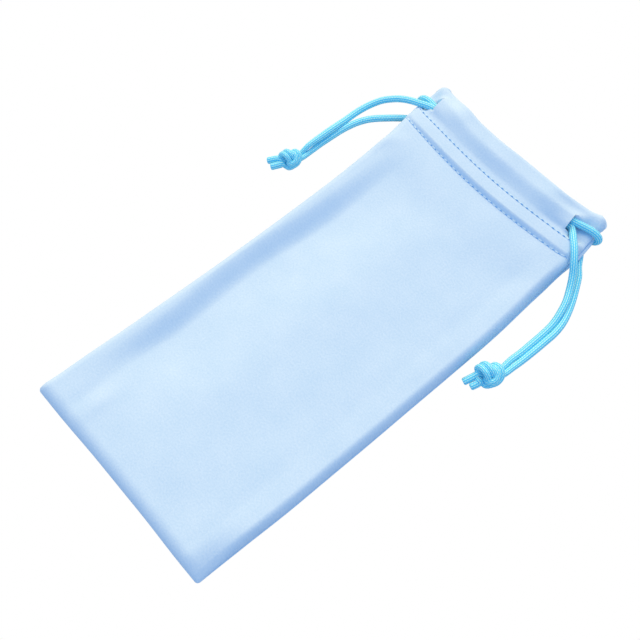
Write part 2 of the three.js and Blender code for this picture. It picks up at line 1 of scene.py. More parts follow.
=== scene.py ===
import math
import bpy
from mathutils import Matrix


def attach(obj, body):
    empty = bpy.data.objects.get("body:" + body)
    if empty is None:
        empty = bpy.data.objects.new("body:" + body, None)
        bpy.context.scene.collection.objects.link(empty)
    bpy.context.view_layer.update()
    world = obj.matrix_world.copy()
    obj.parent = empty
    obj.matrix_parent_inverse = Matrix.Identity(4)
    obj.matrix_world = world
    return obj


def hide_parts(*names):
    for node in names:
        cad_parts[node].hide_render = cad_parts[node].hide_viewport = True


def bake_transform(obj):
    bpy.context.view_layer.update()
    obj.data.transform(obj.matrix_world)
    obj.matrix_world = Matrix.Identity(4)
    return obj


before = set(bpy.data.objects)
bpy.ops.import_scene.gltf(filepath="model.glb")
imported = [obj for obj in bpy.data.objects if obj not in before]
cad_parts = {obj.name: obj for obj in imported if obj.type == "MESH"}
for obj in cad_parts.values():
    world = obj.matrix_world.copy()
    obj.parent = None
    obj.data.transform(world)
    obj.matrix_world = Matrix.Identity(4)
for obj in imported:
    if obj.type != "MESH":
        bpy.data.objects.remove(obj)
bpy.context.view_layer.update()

# Soft drawstring pouch for spectacles, lying flat with its mouth towards +Y
from types import SimpleNamespace

import bpy
import numpy as np
from mathutils import Vector

MM = 0.001
FRONT, BACK = 1, -1


def span(start, end):
    """A stretch, or a place and a reach, given in millimetres."""
    return start * MM, end * MM


# Camera, as found from the corners of the pouch in the photograph
VIEW_AZIMUTH = math.radians(48.669)
VIEW_ELEVATION = math.radians(64.118)
VIEW_DISTANCE = 332.389 * MM
VIEW_TARGET = Vector((-2.052, -5.856, 0)) * MM
FOCAL_LENGTH = 56.25
SENSOR_WIDTH = 36.0
NEAREST_SEEN = 10 * MM

# Light
KEY_ELEVATION = math.radians(48)
KEY_SPREAD = math.radians(60)
KEY_STRENGTH = 2.88
KEY_COLOUR = (1.0, 0.73, 0.32)
SKY_COLOUR = (0.33, 0.515, 0.8, 1)
PAPER_COLOUR = (0.7, 0.7, 0.7, 1)
FLOOR_HALF = 3.0
FLOOR_DROP = 0.2 * MM

# Colours of the cloth, the cord and the thread, from deep to pale
CLOTH_COLOURS = ((0.54, 0.73, 0.93), (0.66, 0.82, 0.985))
# The cord's deep colour is painted shade in the braid's gaps, its pale colour a painted highlight on the
# strands
CORD_SHADE_TO_HIGHLIGHT_COLOURS = ((0.06, 0.58, 1.0), (0.25, 0.9, 1.0), (0.8, 0.98, 1.0))
# The thread's deep colour is painted shade of the needle holes
THREAD_AND_HOLE_SHADE_COLOURS = ((0.16, 0.42, 0.82), (0.48, 0.72, 0.95), (0.6, 0.8, 0.98))
GRAIN_SCALE = 1500
CLOUD_SCALE = 90
GRAIN_SHARE = 0.65

# Outline of the cloth
HALF_WIDTH = 41 * MM
MOUTH_Y = 90 * MM
BOTTOM_Y = -90 * MM
CLOTH = 0.5 * MM
BOTTOM_CORNER = 1.2 * MM
BOTTOM_BOW = 0.35 * MM
BOTTOM_BOW_X = span(10, 32)
BOTTOM_BOW_Y = (BOTTOM_Y, BOTTOM_Y + 20 * MM)
MOUTH_CORNER = 1.6 * MM
CORNER_REACH = 1 * MM
CORNER_REACH_X = span(30, 36)
CORNER_REACH_Y = span(74, 88)
LOOP_PINCH = 0.7 * MM
LOOP_PINCH_Y = span(83.8, 1.8)

# Sides of the cloth in millimetres: how far along the pouch, and how far across
LEFT_EDGE = (
    (-90, -42.5), (-84, -41.7), (-74, -41), (-57, -40), (-41, -39.4), (-23, -38.85), (-6, -38.55),
    (12, -38.45), (31, -38.6), (50, -39.4), (60, -39.8), (66, -40.3), (70, -40.9), (76, -41.5),
    (83, -41.9), (90, -42),
)
RIGHT_EDGE = (
    (-90, 39.4), (-84, 39.5), (-74, 40), (-57, 40.75), (-41, 40.95), (-23, 41.15),
    (-6, 41.2), (12, 41.3), (33, 41.2), (54, 40.2),
    (64, 40), (70, 40.2), (74, 40.1), (78.6, 39.5), (82, 39), (86, 38.1), (90, 37.2),
)

# The front's right edge lies in from the back's: in the body, in its upper part and at the hem
BODY_EDGE_STEP = 0.12 * MM
UPPER_EDGE_STEP = 0.35 * MM
HEM_EDGE_STEP = 1 * MM
EDGE_STEP_X = span(30, 38)
EDGE_STEP_START = span(-88, -76)
EDGE_STEP_UPPER = span(20, 52)
EDGE_STEP_HEM = span(66, 71)
EDGE_STEP_END = span(82, 86)

# Seams: their heights, and how the cloth rolls over and tucks in at them
FOOT_SEAM = 1.1 * MM
FOOT_SEAM_Y = (BOTTOM_Y, BOTTOM_Y + 24 * MM)
BODY_SEAM = 2.6 * MM
HEM_SEAM = 4.25 * MM
RIM_RADIUS = 3.1 * MM
RIGHT_RIM_RADIUS = 2.6 * MM
FOOT_RADIUS = 4.4 * MM
BACK_ROLL = 2.3 * MM
SEAM_LIP = 0.7 * MM
SEAM_TUCK = 1.5 * MM
SEAM_GAP = 0.03 * MM
TUCK_TURNS = (0.5, 1.05, math.pi / 2, 2.2)
TUCK_END_Y = span(80, 87)
CLOSED_CORNER = 5 * MM
CLOSED_CORNER_Y = 76 * MM
CLOSED_SHARE = 0.9

# Swell of the body, its valley along the left rim and its fall to the bottom right corner
RIM_HEIGHT = 6.6 * MM
RIM_NEAR_HEM = 7.5 * MM
RIM_CHANGE_Y = span(40, 66)
CROWN_RISE = 1.3 * MM
CROWN_REACH = 60 * MM
RIGHT_RIM_RISE = 0.6 * MM
RIGHT_RIM_X = span(18, 40)
RIGHT_FURROW = 0.2 * MM
RIGHT_FURROW_X = span(31, 3.2)
FOOT_FALL = 0.3 * MM
FOOT_FALL_REACH = span(2, 17)
LEFT_RIM_RISE = 0.9 * MM
LEFT_VALLEY = 3 * MM
VALLEY_X = -32 * MM
VALLEY_WANDER = 0.5 * MM
VALLEY_WAVE = 9 * MM
VALLEY_SHIFT = 2.5 * MM
VALLEY_SHIFT_Y = span(-10, 45)
VALLEY_SLOPE = 4.2 * MM
VALLEY_FLOOR = 3 * MM
VALLEY_START_Y = span(-84, -42)
VALLEY_END_Y = span(15, 62)
VALLEY_FADE = 0.6
CORNER_FALL = 5 * MM
CORNER_FALL_X = span(31, 43)
CORNER_FALL_Y = span(-88, -68)

# Unevenness of the loose cloth: height in millimetres, turn for each millimetre across and along, phase
RIPPLES = (
    (0.16, 0.055, 0.035, 0.4), (0.13, -0.04, 0.07, 1.9), (0.10, 0.11, -0.06, 3.1),
    (0.08, 0.16, 0.10, 0.7), (0.06, -0.2, 0.16, 2.2),
)
RIPPLE_INSET = span(2, 10)
RIPPLE_FOOT = span(2, 12)

# Folds near the bottom left corner, in millimetres: height, place across and width
CORNER_FOLDS = ((0.4, -23.5, 2.6), (-0.35, -28.8, 2.4))
CORNER_FOLDS_Y = span(-79, 8)

# Slanted folds, in millimetres: height, a point on the ridge, the way across it, width, then middle and
# reach across the pouch
SLANTED_FOLDS = (
    (0.3, (-8, -62), (0.5, 0.87), 3, -14, 11),
    (0.25, (14, 38), (0.62, 0.78), 3.5, 16, 14),
    (1.3, (-35.8, 58.6), (0.73, -0.68), 3.5, -35.8, 6),
)

# Hem, measured along the pouch
LOWER_ROW_Y = 67.3 * MM
UPPER_ROW_Y = 73.5 * MM
LOWER_ROW_MIDDLE = 64.6 * MM
UPPER_ROW_MIDDLE = 70.7 * MM
ROW_BOW = 4.1 * MM
ROW_BOW_START_Y = 30 * MM
HEM_START_Y = 64.5 * MM
HEM_RISE_Y = (55.5 * MM, LOWER_ROW_Y)
HEM_SLOPE_Y = (48 * MM, LOWER_ROW_Y - 0.5 * MM)
ROW_STEP_Y = (LOWER_ROW_Y - 0.1 * MM, LOWER_ROW_Y + 1.25 * MM)
CASING_SLOPE_Y = (UPPER_ROW_Y, UPPER_ROW_Y + 3.5 * MM)
CASING_RISE_Y = (UPPER_ROW_Y + 0.6 * MM, 77 * MM)
MOUTH_SLOPE_Y = span(75.2, 81.4)
CREST_Y = 85.5 * MM
MOUTH_ROLL = 2 * MM
FACING_INSET = 3 * MM
FACING_INSET_RATE = 8

# Dips of the mouth's edge in the front and in the back
FRONT_DIP = 5.4 * MM
FRONT_DIP_LEFT = span(-46, -14)
FRONT_DIP_RIGHT = span(21.5, 41.5)
MIDDLE_DIP = 0.85 * MM
MIDDLE_DIP_X = span(-5, 10)
BACK_DIP = 1.5 * MM
BACK_SHORT = 1.2 * MM

# Heights of the hem's layers in the middle and at the sides
STRIP_TOP = 10.5 * MM
STRIP_SIDE = 7.8 * MM
STRIP_FLATNESS = 3.5
CASING_TOP = 10.8 * MM
MOUTH_RISE = 2.7 * MM
MOUTH_RISE_LEAST = 0.9
MOUTH_RISE_SPOT = 0.2
MOUTH_SPOTS = (span(-27, 5), span(-4, 9), span(21, 6))
RIM_LEFT = span(-44, -22)
RIM_RIGHT = span(18, 38)
ROW_STEP = 1.6 * MM
ROW_GROOVE = 0.1 * MM
ROW_GROOVE_REACH = 0.5 * MM
SIDE_TOP = 5.8 * MM
SIDE_RIM_RISE = 1.5 * MM
RIGHT_SIDE_RISE = 0.4 * MM
SIDE_STEP = 0.35 * MM
FRONT_FACING = 8.3 * MM
SIDE_FRONT_FACING = 4.4 * MM
BACK_FACING = 3.5 * MM
SIDE_BACK_FACING = 3.6 * MM
SIDE_BACK_BOTTOM = 2.8 * MM
BACK_GROOVE = 0.3 * MM
BACK_GROOVE_REACH = 0.8 * MM
LAYER_GAP = 0.3 * MM

# Slits, and the crossings of the cords in the two casings
LEFT_SLIT_X = -34.8 * MM
RIGHT_SLIT_X = 29.6 * MM
SLIT_SLOPE = 4.5 * MM
SLIT_ROUND = 1 * MM
SLIT_START_Y = 76.2 * MM
SLIT_END_Y = 81.8 * MM
SLIT_CLOSED = 0.05 * MM
SLIT_FALL = 1.9 * MM
SLIT_FALL_LEFT = (LEFT_SLIT_X - 2 * MM, -22 * MM)
SLIT_FALL_RIGHT = (17 * MM, RIGHT_SLIT_X + 2 * MM)
SLIT_CREASE = 1.6 * MM
SLIT_CREASE_Y = span(75.7, 1.5)
CREST_RISE_Y = (SLIT_END_Y - SLIT_ROUND, CREST_Y)
BACK_SLOPE = 3 * MM
BACK_SAG_LEFT = (-RIGHT_SLIT_X - BACK_SLOPE, -RIGHT_SLIT_X + BACK_SLOPE)
BACK_SAG_RIGHT = (-LEFT_SLIT_X - BACK_SLOPE, -LEFT_SLIT_X + BACK_SLOPE)
FRONT_CROSSING_X = -25.3 * MM
FACING_RISE_X = (FRONT_CROSSING_X - 1 * MM, FRONT_CROSSING_X + 15 * MM)
FACING_FALL_X = (RIGHT_SLIT_X - 7 * MM, RIGHT_SLIT_X + 4 * MM)
BACK_CROSSING_X = 17.8 * MM
CROSSING_LIFT = 2.8 * MM
CROSSING_RISE_X = (BACK_CROSSING_X - 10 * MM, BACK_CROSSING_X - 3 * MM)
CROSSING_FALL_X = (BACK_CROSSING_X + 4 * MM, BACK_CROSSING_X + 13 * MM)

# Grid of a panel: how many columns and turns it has, and the distances of its rows
COLUMNS = 97
ROLL_STEPS = 11
FOLD_STEPS = 15
FACING_STEPS = 24
FINE_ROWS_Y = 56 * MM
BODY_ROW = 1.3 * MM
HEM_ROW = 0.5 * MM
SHORTEST = 1e-12

# Cords
CORD = 2.5 * MM
CORD_RADIUS = CORD / 2
CORD_STEP = 0.4 * MM
CORD_SIDES = 24
STRETCH_STEPS = 24
BRAID_ROWS = 10
BRAID_PITCH = 1 * MM
SEAL_REACH = 0.35 * CORD_RADIUS
SEAL_TIP = 0.8
TAIL_PULL = 0.15 * MM

# For the cords' routes, in millimetres: heights over the table, lanes along the casings, mouth corners
TABLE_CORD = 1.3
BACK_CORD = 2.0
FRONT_CORD = 10.3
SIDE_CORD = 7.2
LOW_LANE = 78.5
HIGH_LANE = 81.3
RIGHT_CORNER = (41, 90)
LEFT_CORNER = (-41, 90)

# Knots
KNOT_STRAND = 2.25 * MM
KNOT_SPACING = 1.06
KNOT_PULL = 14 * MM
KNOT_TAPER = 1 * MM
RIGHT_KNOT = ((49.3 * MM, 20.8 * MM), math.radians(-104), 0.95)
LEFT_KNOT = ((-56.1 * MM, 27.3 * MM), math.radians(-94), 0.82)

# Stitches; the shades are places on the thread's colours from one end of a stitch to the other
STITCH_PITCH = 2.2 * MM
STITCH_FILL = 0.92
STITCH_STEPS = 9
STITCH_RISE = 0.12 * MM
STITCH_SINK = 0.08 * MM
RISE_POWER = 0.6
SINK_POWER = 0.5
THREAD_RADIUS = 0.24 * MM
THREAD_SIDES = 6
ROW_LEFT_X = -39.8 * MM
ROW_RIGHT_X = 39.4 * MM
# Painted shade of the needle holes: at the ends of plain stitches, in the middle of dotted ones
PLAIN_SHADE = (0.0, 1.0)
DOTTED_SHADE = (-0.5, 0.5)

# Seam allowances and their thread, inside the pouch
ALLOWANCE = 6 * MM
ALLOWANCE_INSET = 3.2 * MM
ALLOWANCE_WAVE = 0.12 * MM
ALLOWANCE_TURN = 0.9
SIDE_SEAM_Y = span(-78, 62)
BOTTOM_SEAM_X = span(-33, 33)
SEAM_PITCH = 2.5 * MM
SEAM_THREAD_IN = 1.2 * MM
SEAM_THREAD_UP = 0.75 * MM
SEAM_STITCH_ENDS = (0.1, 0.9)
SEAM_STITCH_RISE = 0.15 * MM
SEAM_STITCH_SINK = 0.2 * MM

# Upper half of an allowance's section, as shares of its width and of half its height
ALLOWANCE_HALF = ((0.02, 0.8), (0.1, 1), (0.5, 0.92), (0.9, 1), (1, 0.75), (1, 0.12), (0.6, 0.06))


def smooth(value, start, end):
    """0 up to the start, 1 from the end on, and a soft step between them."""
    t = np.clip((value - start) / (end - start), 0, 1)
    return t * t * (3 - 2 * t)


def plateau(value, rise, fall):
    """A soft step up over one pair of places and down again over another."""
    return smooth(value, *rise) * (1 - smooth(value, *fall))


def mix(a, b, t):
    return a + (b - a) * t


def hump(value, middle, reach):
    return np.exp(-(((value - middle) / reach) ** 2))


def eased(t, start, start_slope, end, end_slope):
    """Values between two ends, with the given slopes at both."""
    return (
        (2 * t**3 - 3 * t**2 + 1) * start
        + (t**3 - 2 * t**2 + t) * start_slope
        + (3 * t**2 - 2 * t**3) * end
        + (t**3 - t**2) * end_slope
    )


# Camera
def direction(azimuth, elevation):
    """Unit vector from the pouch: azimuth 0 is past its bottom, and grows towards +X."""
    flat = math.cos(elevation)
    return Vector((math.sin(azimuth) * flat, -math.cos(azimuth) * flat, math.sin(elevation)))


def add_object(name, data):
    thing = bpy.data.objects.new(name, data)
    bpy.context.scene.collection.objects.link(thing)
    return thing


camera_data = bpy.data.cameras.new("camera")
camera_data.sensor_width = SENSOR_WIDTH
camera_data.lens = FOCAL_LENGTH
camera_data.clip_start = NEAREST_SEEN
camera = add_object("camera", camera_data)
towards_camera = direction(VIEW_AZIMUTH, VIEW_ELEVATION)
camera.location = VIEW_TARGET + VIEW_DISTANCE * towards_camera
camera.rotation_euler = towards_camera.to_track_quat("Z", "Y").to_euler()
bpy.context.scene.camera = camera


# Meshes
def add_mesh(name, points, faces, material, uv=None, normals=None):
    mesh = bpy.data.meshes.new(name)
    mesh.from_pydata(np.asarray(points).tolist(), [], faces)
    mesh.polygons.foreach_set("use_smooth", np.ones(len(mesh.polygons), bool))
    if uv is not None:
        corner = np.empty(len(mesh.loops), np.int32)
        mesh.loops.foreach_get("vertex_index", corner)
        layer = mesh.uv_layers.new(name="UVMap")
        layer.data.foreach_set("uv", np.asarray(uv)[corner].astype(np.float32).ravel())
    mesh.update()
    if normals is not None:
        mesh.normals_split_custom_set_from_vertices(np.asarray(normals).tolist())
    mesh.materials.append(material)
    return add_object(name, mesh)


# Materials
def node_material(name):
    material = bpy.data.materials.new(name)
    material.use_nodes = True
    tree = material.node_tree
    return material, tree, tree.nodes["Principled BSDF"]


def set_inputs(node, values):
    for name, value in values.items():
        node.inputs[name].default_value = value


def math_node(tree, operation, first, second=None):
    node = tree.nodes.new("ShaderNodeMath")
    node.operation = operation
    for socket, value in zip(node.inputs, (first, second)):
        if isinstance(value, (int, float)):
            socket.default_value = value
        elif value is not None:
            tree.links.new(value, socket)
    return node.outputs[0]


def ramp(tree, factor, stops):
    stops = list(stops)
    node = tree.nodes.new("ShaderNodeValToRGB")
    while len(node.color_ramp.elements) < len(stops):
        node.color_ramp.elements.new(0.5)
    for element, (position, colour) in zip(node.color_ramp.elements, stops):
        element.position = position
        element.color = (*colour, 1)
    tree.links.new(factor, node.inputs["Fac"])
    return node.outputs["Color"]


def noise(tree, place, scale):
    node = tree.nodes.new("ShaderNodeTexNoise")
    set_inputs(node, {"Scale": scale, "Detail": 3})
    tree.links.new(place, node.inputs["Vector"])
    return node.outputs["Fac"]


def add_bump(tree, shader, height, strength, distance):
    bump = tree.nodes.new("ShaderNodeBump")
    set_inputs(bump, {"Strength": strength, "Distance": distance})
    tree.links.new(height, bump.inputs["Height"])
    tree.links.new(bump.outputs["Normal"], shader.inputs["Normal"])


def uv_parts(tree):
    """Places round a tube and along it."""
    parts = tree.nodes.new("ShaderNodeSeparateXYZ")
    tree.links.new(tree.nodes.new("ShaderNodeTexCoord").outputs["UV"], parts.inputs[0])
    return parts.outputs["X"], parts.outputs["Y"]


def cloth_material():
    material, tree, shader = node_material("microfibre")
    place = tree.nodes.new("ShaderNodeTexCoord").outputs["UV"]
    grain = noise(tree, place, GRAIN_SCALE)
    cloud = noise(tree, place, CLOUD_SCALE)
    fine = math_node(tree, "MULTIPLY", grain, GRAIN_SHARE)
    broad = math_node(tree, "MULTIPLY", cloud, 1 - GRAIN_SHARE)
    both = math_node(tree, "ADD", fine, broad)
    colour = ramp(tree, both, zip((0.3, 0.7), CLOTH_COLOURS))
    tree.links.new(colour, shader.inputs["Base Color"])
    set_inputs(shader, {"Roughness": 0.95, "Specular IOR Level": 0.1})
    add_bump(tree, shader, grain, 0.12, 0.3 * MM)
    return material


def cord_material():
    """Braid of rows of dashes, every second row half a dash further along; painted shade in its gaps,
    painted highlight on the dashes.
    """
    material, tree, shader = node_material("braid")
    turn, along = uv_parts(tree)
    row = math_node(tree, "MULTIPLY", turn, BRAID_ROWS)
    odd = math_node(tree, "MODULO", math_node(tree, "FLOOR", row), 2.0)
    shifted = math_node(tree, "ADD", along, math_node(tree, "MULTIPLY", odd, 0.5))
    across_dash = math_node(tree, "PINGPONG", row, 0.5)
    along_dash = math_node(tree, "PINGPONG", shifted, 0.5)
    strand = math_node(tree, "ADD", along_dash, 0.5)
    dash = math_node(tree, "MULTIPLY", across_dash, strand)
    height = math_node(tree, "MULTIPLY", dash, 2.0)
    # Painted shade deep in the braid's gaps and a painted highlight pale on its dashes' tops, from the
    # braid's height
    colour = ramp(tree, height, zip((0.1, 0.4, 0.95), CORD_SHADE_TO_HIGHLIGHT_COLOURS))
    tree.links.new(colour, shader.inputs["Base Color"])
    set_inputs(shader, {"Roughness": 0.5, "Specular IOR Level": 0.35})
    add_bump(tree, shader, height, 0.35, 0.2 * MM)
    return material


def thread_material():
    """Thread with painted shade of the needle holes: deep at a plain stitch's ends, where it dives into the
    cloth, and in a dotted stitch's middle.
    """
    material, tree, shader = node_material("thread")
    fold = math_node(tree, "PINGPONG", uv_parts(tree)[1], 0.5)
    # Painted shade of the needle holes where the fold is least, pale thread elsewhere
    colour = ramp(tree, fold, zip((0.13, 0.22, 0.32), THREAD_AND_HOLE_SHADE_COLOURS))
    tree.links.new(colour, shader.inputs["Base Color"])
    set_inputs(shader, {"Roughness": 0.6})
    return material


cloth_look = cloth_material()
cord_look = cord_material()
thread_look = thread_material()


# Lines in space
def spline(points, spacing):
    """Even points along a smooth line through the given points, and how far along each of those lies."""
    p = np.asarray(points, float)
    p = np.vstack([2 * p[0] - p[1], p, 2 * p[-1] - p[-2]])
    gap = np.sqrt(np.linalg.norm(np.diff(p, axis=0), axis=1))
    t = np.linspace(0, 1, STRETCH_STEPS, endpoint=False)[:, None]
    line = []
    for k in range(1, len(p) - 2):
        a, b, c, d = p[k - 1 : k + 3]
        before, here, after = gap[k - 1 : k + 2]
        start = here * ((b - a) / before - (c - a) / (before + here) + (c - b) / here)
        end = here * ((c - b) / here - (d - b) / (here + after) + (d - c) / after)
        line.append(eased(t, b, start, c, end))
    marks = STRETCH_STEPS * np.arange(len(line) + 1)
    line = np.vstack([*line, p[-2][None]])
    along = np.r_[0, np.cumsum(np.linalg.norm(np.diff(line, axis=0), axis=1))]
    even = np.linspace(0, along[-1], max(2, round(along[-1] / spacing) + 1))
    return np.stack([np.interp(even, along, line[:, k]) for k in range(3)], 1), along[marks]


def frames(line):
    """Two directions across a line at each of its points, which turn as little as they can along it."""
    tangent = np.gradient(line, axis=0)
    tangent /= np.linalg.norm(tangent, axis=1)[:, None]
    side = np.empty_like(line)
    lean = np.cross(tangent[0], [0.0, 0.0, 1.0])
    side[0] = lean / np.linalg.norm(lean)
    for k in range(1, len(line)):
        turned = side[k - 1] - tangent[k] * (side[k - 1] @ tangent[k])
        side[k] = turned / np.linalg.norm(turned)
    return side, np.cross(tangent, side)


def tube(line, radius, around, along_scale, start=0.0, axes=None, caps=(True, True)):
    """Points, faces and UV of a tube whose radius may change, closed at the ends that have caps."""
    step = np.r_[0, np.cumsum(np.linalg.norm(np.diff(line, axis=0), axis=1))]
    radius = np.broadcast_to(radius, len(line))
    side, up = axes if axes else frames(line)
    angle = np.linspace(0, 2 * np.pi, around + 1)
    ring = np.cos(angle)[None, :, None] * side[:, None] + np.sin(angle)[None, :, None] * up[:, None]
    points = (line[:, None] + radius[:, None, None] * ring).reshape(-1, 3)
    u, v = np.meshgrid(angle / (2 * np.pi), (start + step) / along_scale)
    uv = np.stack([u.ravel(), v.ravel()], 1)
    wide = around + 1
    faces = []
    for i in range(len(line) - 1):
        for j in range(around):
            a = i * wide + j
            faces.append((a, a + 1, a + 1 + wide, a + wide))
    for first, turn, capped in ((0, -1, caps[0]), ((len(line) - 1) * wide, 1, caps[1])):
        if capped:
            base = len(points)
            rim = np.arange(first, first + around)
            points = np.vstack([points, points[rim]])
            uv = np.vstack([uv, uv[rim]])
            faces.append(tuple(range(base, base + around))[::turn])
    return points, faces, uv


def cut_end(line, radius, tip):
    """Radius of a cord towards a cut end that was sealed with heat, so that its rim is a little rounded."""
    near = np.clip(np.linalg.norm(line - tip, axis=1) / SEAL_REACH, 0, 1)
    return radius * mix(SEAL_TIP, 1, np.sqrt(1 - (1 - near) ** 2))


def joined(parts):
    """Several bodies of points, faces and UV as one."""
    points, faces, uvs, base = [], [], [], 0
    for part_points, part_faces, part_uv in parts:
        points.append(part_points)
        uvs.append(part_uv)
        faces += [tuple(base + k for k in face) for face in part_faces]
        base += len(part_points)
    return np.vstack(points), faces, np.vstack(uvs)


# Routes of the cords
def route(points, corner=(0, 0)):
    """Points in metres, given in millimetres from the middle of the pouch or from a corner of its mouth.

    A point without a height lies on the table.
    """
    placed = [(corner[0] + x, corner[1] + y, *(height or (TABLE_CORD,))) for x, y, *height in points]
    return [np.array(point) * MM for point in placed]


right_hairpin = route([
    (29, 78.2, FRONT_CORD - 2.5),
    (25.3, 78.2, FRONT_CORD - 1.3),
    (20.9, 78.4, FRONT_CORD - 0.2),
    (-1.3, LOW_LANE, FRONT_CORD),
    (-13.3, LOW_LANE, FRONT_CORD),
    (-19.8, 78.8, FRONT_CORD),
    (-25.3, 79.9, FRONT_CORD),
    (-29.8, 80.8, FRONT_CORD - 0.9),
    (-33.6, 80.4, SIDE_CORD + 0.8),
]) + route([
    (4.6, -10.3, SIDE_CORD),
    (2.05, -10.1, SIDE_CORD - 0.1),
    (-0.3, -10.2, SIDE_CORD - 0.4),
    (-2.2, -10.2, 5),
    (-2.6, -10.4, TABLE_CORD + 1.6),
    (-1.3, -10.7, TABLE_CORD + 0.3),
    (2.4, -10.5, TABLE_CORD + 0.1),
], LEFT_CORNER) + route([
    (-33.9, 80.9),
    (-29.4, HIGH_LANE, 1.58),
    (-24.9, HIGH_LANE, BACK_CORD),
    (0, HIGH_LANE, BACK_CORD),
    (9.8, HIGH_LANE, BACK_CORD + 0.56),
    (13.8, 80.7, BACK_CORD + 2.24),
    (17.8, 79.9, BACK_CORD + 2.8),
    (21.8, 79.1, BACK_CORD + 2.38),
    (25.8, 78.6, BACK_CORD + 0.84),
    (30.8, LOW_LANE, BACK_CORD),
    (33.3, LOW_LANE, 1.72),
    (36.2, 78.3, TABLE_CORD + 0.1),
])
left_hairpin = route([
    (-35.2, 77.8, SIDE_CORD + 1.6),
    (-30.8, 78.4, FRONT_CORD - 2.3),
    (-25.3, 79.9, FRONT_CORD - 2.8),
    (-19.8, 80.9, FRONT_CORD - 1.9),
    (-15.3, HIGH_LANE, FRONT_CORD - 0.6),
    (-10.3, HIGH_LANE, FRONT_CORD),
    (20.9, HIGH_LANE, FRONT_CORD - 0.1),
    (25.3, 80.6, FRONT_CORD - 0.5),
    (29, 80.1, FRONT_CORD - 1.2),
]) + route([
    (-9.4, -9, SIDE_CORD + 1.3),
    (-6.8, -7.8, SIDE_CORD + 0.7),
    (-4.3, -6.9, SIDE_CORD + 0.2),
    (-2.3, -6.3, 6.3),
    (-1.4, -6.1, 4.7),
    (-1.9, -6.2, TABLE_CORD + 1.6),
    (-3.9, -6.7, TABLE_CORD + 0.1),
], RIGHT_CORNER) + route([
    (34.6, 81.9, TABLE_CORD + 0.1),
    (32.8, HIGH_LANE, 1.93),
    (25.8, 81.2, BACK_CORD),
    (17.8, 79.9, BACK_CORD),
    (8.8, 78.6, BACK_CORD),
    (0, LOW_LANE, BACK_CORD),
    (-24.9, LOW_LANE, BACK_CORD),
    (-29.4, LOW_LANE, 1.58),
    (-32.9, 78.1),
])
right_front_tail = route([
    (-10.4, -11.5, SIDE_CORD + 0.7),
    (-9, -12.4, SIDE_CORD + 0.9),
    (-6.5, -15, SIDE_CORD + 2),
    (-3.4, -18, SIDE_CORD + 2.2),
    (-0.7, -20.7, SIDE_CORD + 1),
    (2.2, -23.7, TABLE_CORD + 4.1),
    (4.6, -27.1, TABLE_CORD + 2.3),
    (6.8, -31.1, TABLE_CORD + 1.6),
    (8.3, -35.5, TABLE_CORD + 0.9),
    (9.2, -39.5, TABLE_CORD + 0.2),
    (9.5, -44.2),
    (9.5, -49.6),
    (9.4, -54.9),
    (9.1, -59.5, TABLE_CORD + 0.3),
], RIGHT_CORNER)
right_back_tail = route([
    (-4.3, -11.75, TABLE_CORD + 0.1),
    (-3.3, -12.2),
    (-1.8, -14),
    (0.4, -17.1),
    (2.9, -19.8),
    (5.6, -24.1),
    (8.1, -28.6),
    (9.9, -32.5),
    (11.5, -37.1),
    (12.2, -41.8),
    (12.2, -46.5),
    (12.1, -51.8),
    (11.9, -57),
    (11.7, -60.6, TABLE_CORD + 0.3),
], RIGHT_CORNER)
left_front_tail = route([
    (5.2, -12.3, SIDE_CORD + 1.6),
    (3, -12.9, SIDE_CORD + 1.4),
    (0.5, -13.7, SIDE_CORD + 0.8),
    (-3.6, -14.6, TABLE_CORD + 5.3),
    (-6.6, -15.8, TABLE_CORD + 4.3),
    (-9, -17.4, TABLE_CORD + 3.5),
    (-12.1, -20.5, TABLE_CORD + 2.3),
    (-14.1, -24.6, TABLE_CORD + 1.3),
    (-15.2, -29.7, TABLE_CORD + 0.7),
    (-15.2, -35.8, TABLE_CORD + 0.9),
    (-14.9, -42, TABLE_CORD + 1.9),
    (-14.8, -48, TABLE_CORD + 2.3),
    (-14.9, -54, TABLE_CORD + 2.2),
], LEFT_CORNER)
left_back_tail = route([
    (-33.4, 78),
    (-34.9, 77.4),
]) + route([
    (3.6, -14.7),
    (1, -16.6),
    (-1.6, -18.6),
    (-5.8, -23.2),
    (-9.8, -28.5),
    (-11.7, -32.8),
    (-12.9, -38.3),
    (-13.3, -43.2),
    (-13.5, -48.8),
    (-13.2, -54.5, TABLE_CORD + 0.2),
], LEFT_CORNER)
right_ends = [
    route([(5.5, -73, TABLE_CORD + 1), (4.4, -76.4)], RIGHT_CORNER),
    route([(8.1, -72.6, TABLE_CORD + 0.9), (7.2, -75.9)], RIGHT_CORNER),
]
left_ends = [
    route([(-18.2, -65.4, TABLE_CORD + 0.9), (-20.7, -68.5)], LEFT_CORNER),
    route([(-15.9, -66.3, TABLE_CORD + 0.8), (-17.9, -69.3)], LEFT_CORNER),
]


